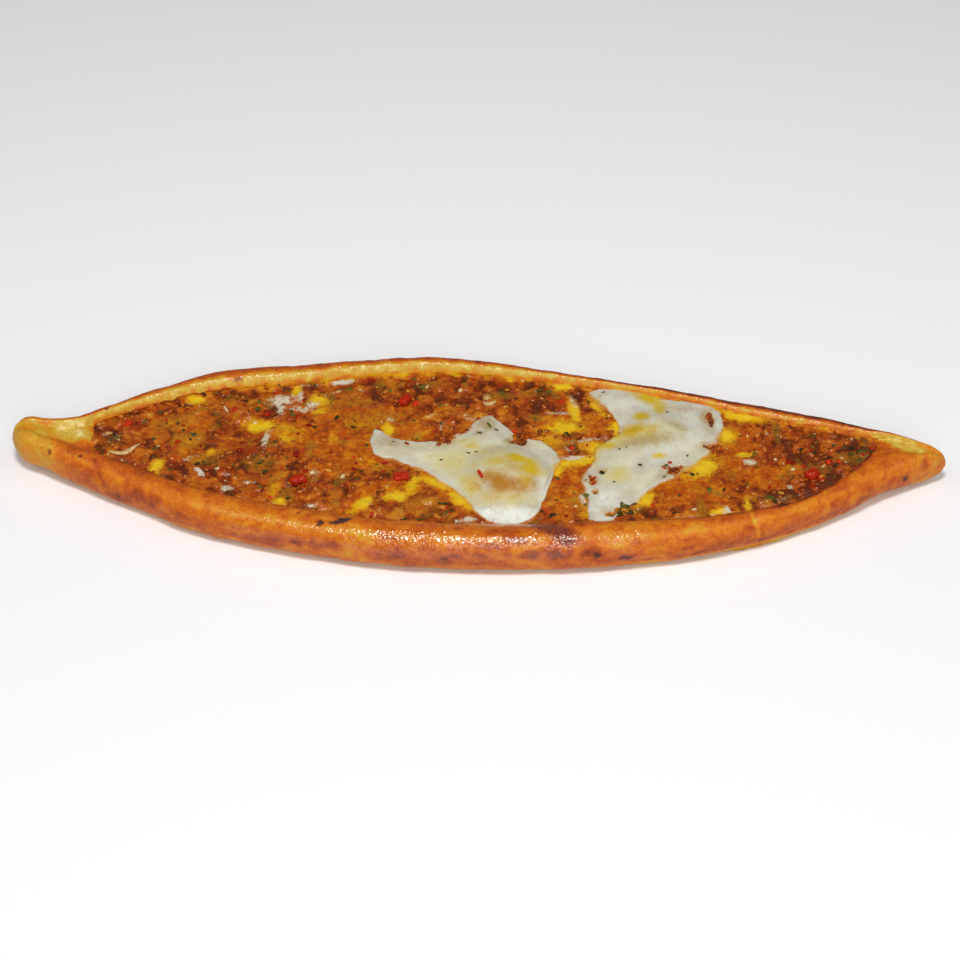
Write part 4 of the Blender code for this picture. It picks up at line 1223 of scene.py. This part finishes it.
def grain_shape():
    """One rounded grain, 2 mm across: a cube, cut once across and drawn round."""
    bm = bmesh.new()
    bmesh.ops.create_cube(bm, size=2)
    bmesh.ops.subdivide_edges(bm, edges=bm.edges, cuts=1, use_grid_fill=True)
    for vertex in bm.verts:
        vertex.co = vertex.co.lerp(vertex.co.normalized(), 0.75)
    return bm


def block_shape():
    """One small dice with rounded edges, 2 mm across."""
    bm = bmesh.new()
    bmesh.ops.create_cube(bm, size=2)
    bmesh.ops.bevel(
        bm, geom=bm.edges[:], offset=0.35, affect="EDGES", segments=1, profile=0.5, material=-1
    )
    return bm


def leaf_shape():
    """One torn flake of leaf, 2 mm long and as wide, with a ragged edge and a little thickness."""
    bm = bmesh.new()
    bmesh.ops.create_grid(bm, x_segments=4, y_segments=2, size=1)
    for vertex in bm.verts:
        x, y, _ = vertex.co
        taper = 1 - 0.5 * abs(x) ** 2
        vertex.co.y = y * taper * (1 + 0.25 * math.sin(7 * x))
        vertex.co.z = 0.25 * math.sin(2.2 * x) + 0.12 * y * y
    bmesh.ops.solidify(bm, geom=bm.faces[:], thickness=0.16)
    return bm


def scatter(name, shape, found, finish, seed, uneven):
    """One piece of many small things. Each is (place, (length, width, height), turn, tone)."""
    template = mesh_of(shape, "template")
    count = len(template.vertices)
    bm = bmesh.new()
    tone = bm.verts.layers.float.new("tone")
    chance = random.Random(seed)
    for place, size, turn, shade in found:
        bm.from_mesh(template)
        bm.verts.ensure_lookup_table()
        tilt = chance.uniform(-0.3, 0.3), chance.uniform(-0.3, 0.3)
        move = Matrix.Translation(Vector(place)) @ Matrix.Rotation(math.radians(turn), 4, "Z")
        move = move @ Matrix.Rotation(tilt[0], 4, "X") @ Matrix.Rotation(tilt[1], 4, "Y")
        shift = Vector((chance.uniform(-99, 99), chance.uniform(-99, 99), 0))
        for vertex in bm.verts[-count:]:
            swell = 1 + uneven * noise.noise(vertex.co * 1.1 + shift)
            there = Vector([c * s / 2 for c, s in zip(vertex.co * swell, size)])
            vertex.co = (move @ there) * MM
            vertex[tone] = shade
    bpy.data.meshes.remove(template)
    if bm.calc_volume(signed=True) < 0:
        bmesh.ops.reverse_faces(bm, faces=bm.faces)
    new_piece(name, mesh_of(bm, name), finish)


def one_grain(chance, x, y, height, dark=False):
    """One grain of mince at a place, half sunk: (place, size, turn, tone)."""
    long = chance.uniform(1.2, 2.4) if chance.random() < 0.75 else chance.uniform(2.4, 3.8)
    size = long, long * chance.uniform(0.5, 0.85), long * chance.uniform(0.4, 0.65)
    tone = chance.uniform(0.02, 0.4) if dark else min(max(chance.gauss(0.44, 0.14), 0.08), 0.8)
    return (x, y, height - 0.12 * size[2]), size, chance.uniform(0, 180), tone


def loose_grains(f, order, chance, top, ground):
    """Grains of mince: more of them where the filling isn't glazed, some on the eggs, and a ring
    round each large dice of pepper."""
    wish = np.clip(1.0 - 0.93 * np.maximum(f.glazed, np.clip(f.coloured, 0, 1)), 0.05, 1)
    wish = wish * (f.sunk < 0.3) * (f.from_wall > 0.6)
    along = [(-180, 0.25), (-120, 0.75), (0, 1), (120, 0.7), (186, 0.15)]
    wish = wish * straight(along, f.places[:, 0])
    found = []
    for i in order:
        if len(found) >= GRAIN_COUNT:
            break
        if chance.random() <= wish[i] * 0.5:
            found.append(one_grain(chance, *f.places[i]))
    for x, y, long, wide, count in MEAT_ON_EGGS:
        for _ in range(count):
            there = x + 0.5 * chance.gauss(0, 1) * long, y + 0.5 * chance.gauss(0, 1) * wide
            found.append(one_grain(chance, *there, top(*there) + 0.2, dark=True))
    for x, y in PEPPER_PLACES:
        for k in range(GRAINS_ROUND_PEPPER):
            turn = 2 * math.pi * (k + chance.random()) / GRAINS_ROUND_PEPPER
            there = x + 4.2 * math.cos(turn), y + 3.4 * math.sin(turn)
            found.append(one_grain(chance, *there, settle(ground, *there) + 0.3))
    return found


def loose_bits(listed, many, smallest, largest, f, order, chance, top):
    """The listed bits, and many more small ones, as (place, size, turn, tone)."""
    found = []
    for x, y, long, wide, turn in listed:
        size = long, wide, 0.6 * min(long, wide)
        found.append(((x, y, top(x, y) + 0.1), size, turn, chance.random()))
    while len(found) < len(listed) + many:
        i = order[chance.randrange(len(order))]
        if f.sunk[i] > 0.2 or f.from_wall[i] < 1 or f.coloured[i] > 0.6:
            continue
        x, y, z = f.places[i]
        long = chance.uniform(smallest, largest)
        size = long, long * chance.uniform(0.5, 0.85), 0.5 * long
        found.append(((x, y, z + 0.05), size, chance.uniform(0, 180), chance.random()))
    return found


def make_small_things(f, ground, eggs, finishes):
    trees = [ground] + [tree_of(piece.data) for piece in eggs]
    chance = random.Random(20)
    order = np.random.RandomState(7).permutation(len(f.places))
    f.coloured = np.maximum(f.yellow, f.milky)

    def top(x, y):
        return max(settle(tree, x, y) for tree in trees)

    found = loose_grains(f, order, chance, top, ground)
    scatter("mince_grains", grain_shape(), found, finishes["grain"], 1, 0.8)
    kinds = [  # (name, shape, listed, many, smallest, largest, slot, seed, uneven)
        ("herb_flakes", leaf_shape, HERB_FLAKES + EGG_FLECKS, 150, 1.0, 2.4, "herb", 2, 0.5),
        ("pepper_bits", block_shape, RED_BITS, 45, 0.9, 2.0, "pepper", 3, 0.6),
        ("onion_bits", grain_shape, ONION_BITS, 60, 0.8, 1.7, "onion", 4, 0.5),
    ]
    for name, shape, listed, many, smallest, largest, slot, seed, uneven in kinds:
        found = loose_bits(listed, many, smallest, largest, f, order, chance, top)
        scatter(name, shape(), found, finishes[slot], seed, uneven)


def make_onion_slivers(ground, finish):
    """Curved slivers of onion, each a flat ribbon bent along an arc and thinner at its ends."""
    joined = bmesh.new()
    for (middle_x, middle_y), radius, start, end, half in ONION_SLIVERS:
        bm = bmesh.new()
        bmesh.ops.create_circle(bm, cap_ends=True, segments=8, radius=1)
        for vertex in bm.verts:
            across, up = vertex.co.x * half, vertex.co.y * SLIVER_THICKNESS
            vertex.co = (radius + across, 0, up)
        bmesh.ops.spin(
            bm, geom=bm.verts[:] + bm.edges[:] + bm.faces[:], cent=(0, 0, 0), axis=(0, 0, 1),
            angle=math.radians(end - start), steps=14, use_merge=False,
        )
        for vertex in bm.verts:
            turn = math.atan2(vertex.co.y, vertex.co.x)
            along = min(max(turn / math.radians(end - start), 0.04), 0.96)
            thin = math.sin(math.pi * along) ** 0.5
            away = radius + (math.hypot(vertex.co.x, vertex.co.y) - radius) * thin
            x = middle_x + away * math.cos(turn + math.radians(start))
            y = middle_y + away * math.sin(turn + math.radians(start))
            vertex.co = Vector((x, y, settle(ground, x, y) + 0.35 + vertex.co.z * thin)) * MM
        bmesh.ops.recalc_face_normals(bm, faces=bm.faces)
        sliver = mesh_of(bm, "sliver")
        joined.from_mesh(sliver)
        bpy.data.meshes.remove(sliver)
    mesh = mesh_of(joined, "slivers")
    paint(mesh, tone=np.full(len(mesh.vertices), 0.5))
    new_piece("onion_slivers", mesh, finish)


def make_peppers(finish):
    """The four large dice of pepper: each CAD dice rounded, wrinkled and a little sunk."""
    for number in range(1, len(PEPPER_PLACES) + 1):
        mesh = smoothed_solid(f"pepper_{number}", 3)
        places, normals = mesh_places(mesh), vertex_normals(mesh)
        middle = places.mean(0)
        wrinkles = 0.7 * lumps(places, 3.4, 50 + number) + 0.25 * lumps(places, 1.3, 60)
        places += normals * wrinkles[:, None]
        places[:, :2] = middle[:2] + (places[:, :2] - middle[:2]) * 0.9
        bend = ((places[:, :2] - middle[:2]) ** 2).sum(1) / 16
        places[:, 2] -= 0.8 * bend + 0.9
        set_places(mesh, places)
        paint(mesh, tone=0.5 + 0.3 * lumps(places, 3, 70 + number))
        piece = new_piece(f"pepper_dice_{number}", mesh, finish)
        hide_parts(f"pepper_{number}")


# ---- The stage


def from_angle(azimuth, elevation, distance):
    a, e = math.radians(azimuth), math.radians(elevation)
    way = Vector((math.sin(a) * math.cos(e), -math.cos(a) * math.cos(e), math.sin(e)))
    return way * distance


def aim_at_middle(thing, place):
    thing.location = place
    thing.rotation_euler = place.to_track_quat("Z", "Y").to_euler()


def make_camera():
    lens = bpy.data.cameras.new("camera")
    lens.lens = CAMERA_LENS
    lens.sensor_width = 36
    lens.shift_x, lens.shift_y = CAMERA_SHIFT
    camera = bpy.data.objects.new("camera", lens)
    bpy.context.scene.collection.objects.link(camera)
    aim_at_middle(camera, from_angle(CAMERA_AZIMUTH, CAMERA_ELEVATION, CAMERA_DISTANCE))
    bpy.context.scene.camera = camera


def make_light():
    scene = bpy.context.scene
    for name, azimuth, elevation, distance, size, power in SOFTBOXES:
        light = bpy.data.lights.new(name, "AREA")
        light.shape = "DISK"
        light.size = size
        light.energy = power
        softbox = bpy.data.objects.new(name, light)
        scene.collection.objects.link(softbox)
        aim_at_middle(softbox, from_angle(azimuth, elevation, distance))
    world = bpy.data.worlds.new("sky")
    world.use_nodes = True
    sky = world.node_tree.nodes["Background"]
    sky.inputs["Color"].default_value = (1, 1, 1, 1)
    sky.inputs["Strength"].default_value = SKY_STRENGTH
    scene.world = world
    scene.view_settings.view_transform = "Standard"


def make_floor():
    bm = bmesh.new()
    bmesh.ops.create_grid(bm, x_segments=1, y_segments=1, size=FLOOR_SIZE)
    mesh = mesh_of(bm, "floor")
    made, _, _ = new_finish(
        "pale_floor", Roughness=0.9, Base_Color=(0.96, 0.96, 0.96, 1), Specular_IOR_Level=0.1
    )
    mesh.materials.append(made)
    floor = bpy.data.objects.new("floor", mesh)
    bpy.context.scene.collection.objects.link(floor)


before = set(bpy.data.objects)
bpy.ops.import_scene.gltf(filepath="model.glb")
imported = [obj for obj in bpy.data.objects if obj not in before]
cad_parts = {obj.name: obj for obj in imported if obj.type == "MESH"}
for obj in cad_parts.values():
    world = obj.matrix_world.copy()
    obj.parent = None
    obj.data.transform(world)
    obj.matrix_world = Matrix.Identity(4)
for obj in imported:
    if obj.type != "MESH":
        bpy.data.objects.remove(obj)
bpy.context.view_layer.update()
make_camera()
make_light()
make_floor()

walls = pocket_walls()
make_crust(dough_finish(), walls)
filling = make_filling(filling_finish(), walls)
white, yolk = egg_finish("set_egg"), egg_finish("set_yolk")
eggs = []
for side, egg in (("left", LEFT_EGG), ("right", RIGHT_EGG)):
    eggs += [make_white(side, egg, white), make_yolk(side, egg, yolk)]

finishes = {
    "grain": grain_finish(),
    "pepper": moist_finish(
        "cooked_pepper", (0.26, 0.008, 0.002), (0.58, 0.030, 0.004), 2.2, Roughness=0.38,
        Coat_Weight=0.12, Specular_IOR_Level=0.3, Specular_Tint=(1, 0.4, 0.3, 1),
    ),
    "onion": moist_finish(
        "cooked_onion", (0.52, 0.27, 0.06), (0.74, 0.54, 0.26), 1.5, Roughness=0.35,
        Coat_Weight=0.3,
    ),
    "herb": moist_finish(
        "wilted_herb", (0.020, 0.020, 0.004), (0.13, 0.115, 0.014), 1.5, Roughness=0.6,
        Specular_IOR_Level=0.2,
    ),
}
ground = tree_of(bpy.data.objects["baked_filling"].data)
make_peppers(finishes["pepper"])
make_small_things(filling, ground, eggs, finishes)
make_onion_slivers(ground, finishes["onion"])
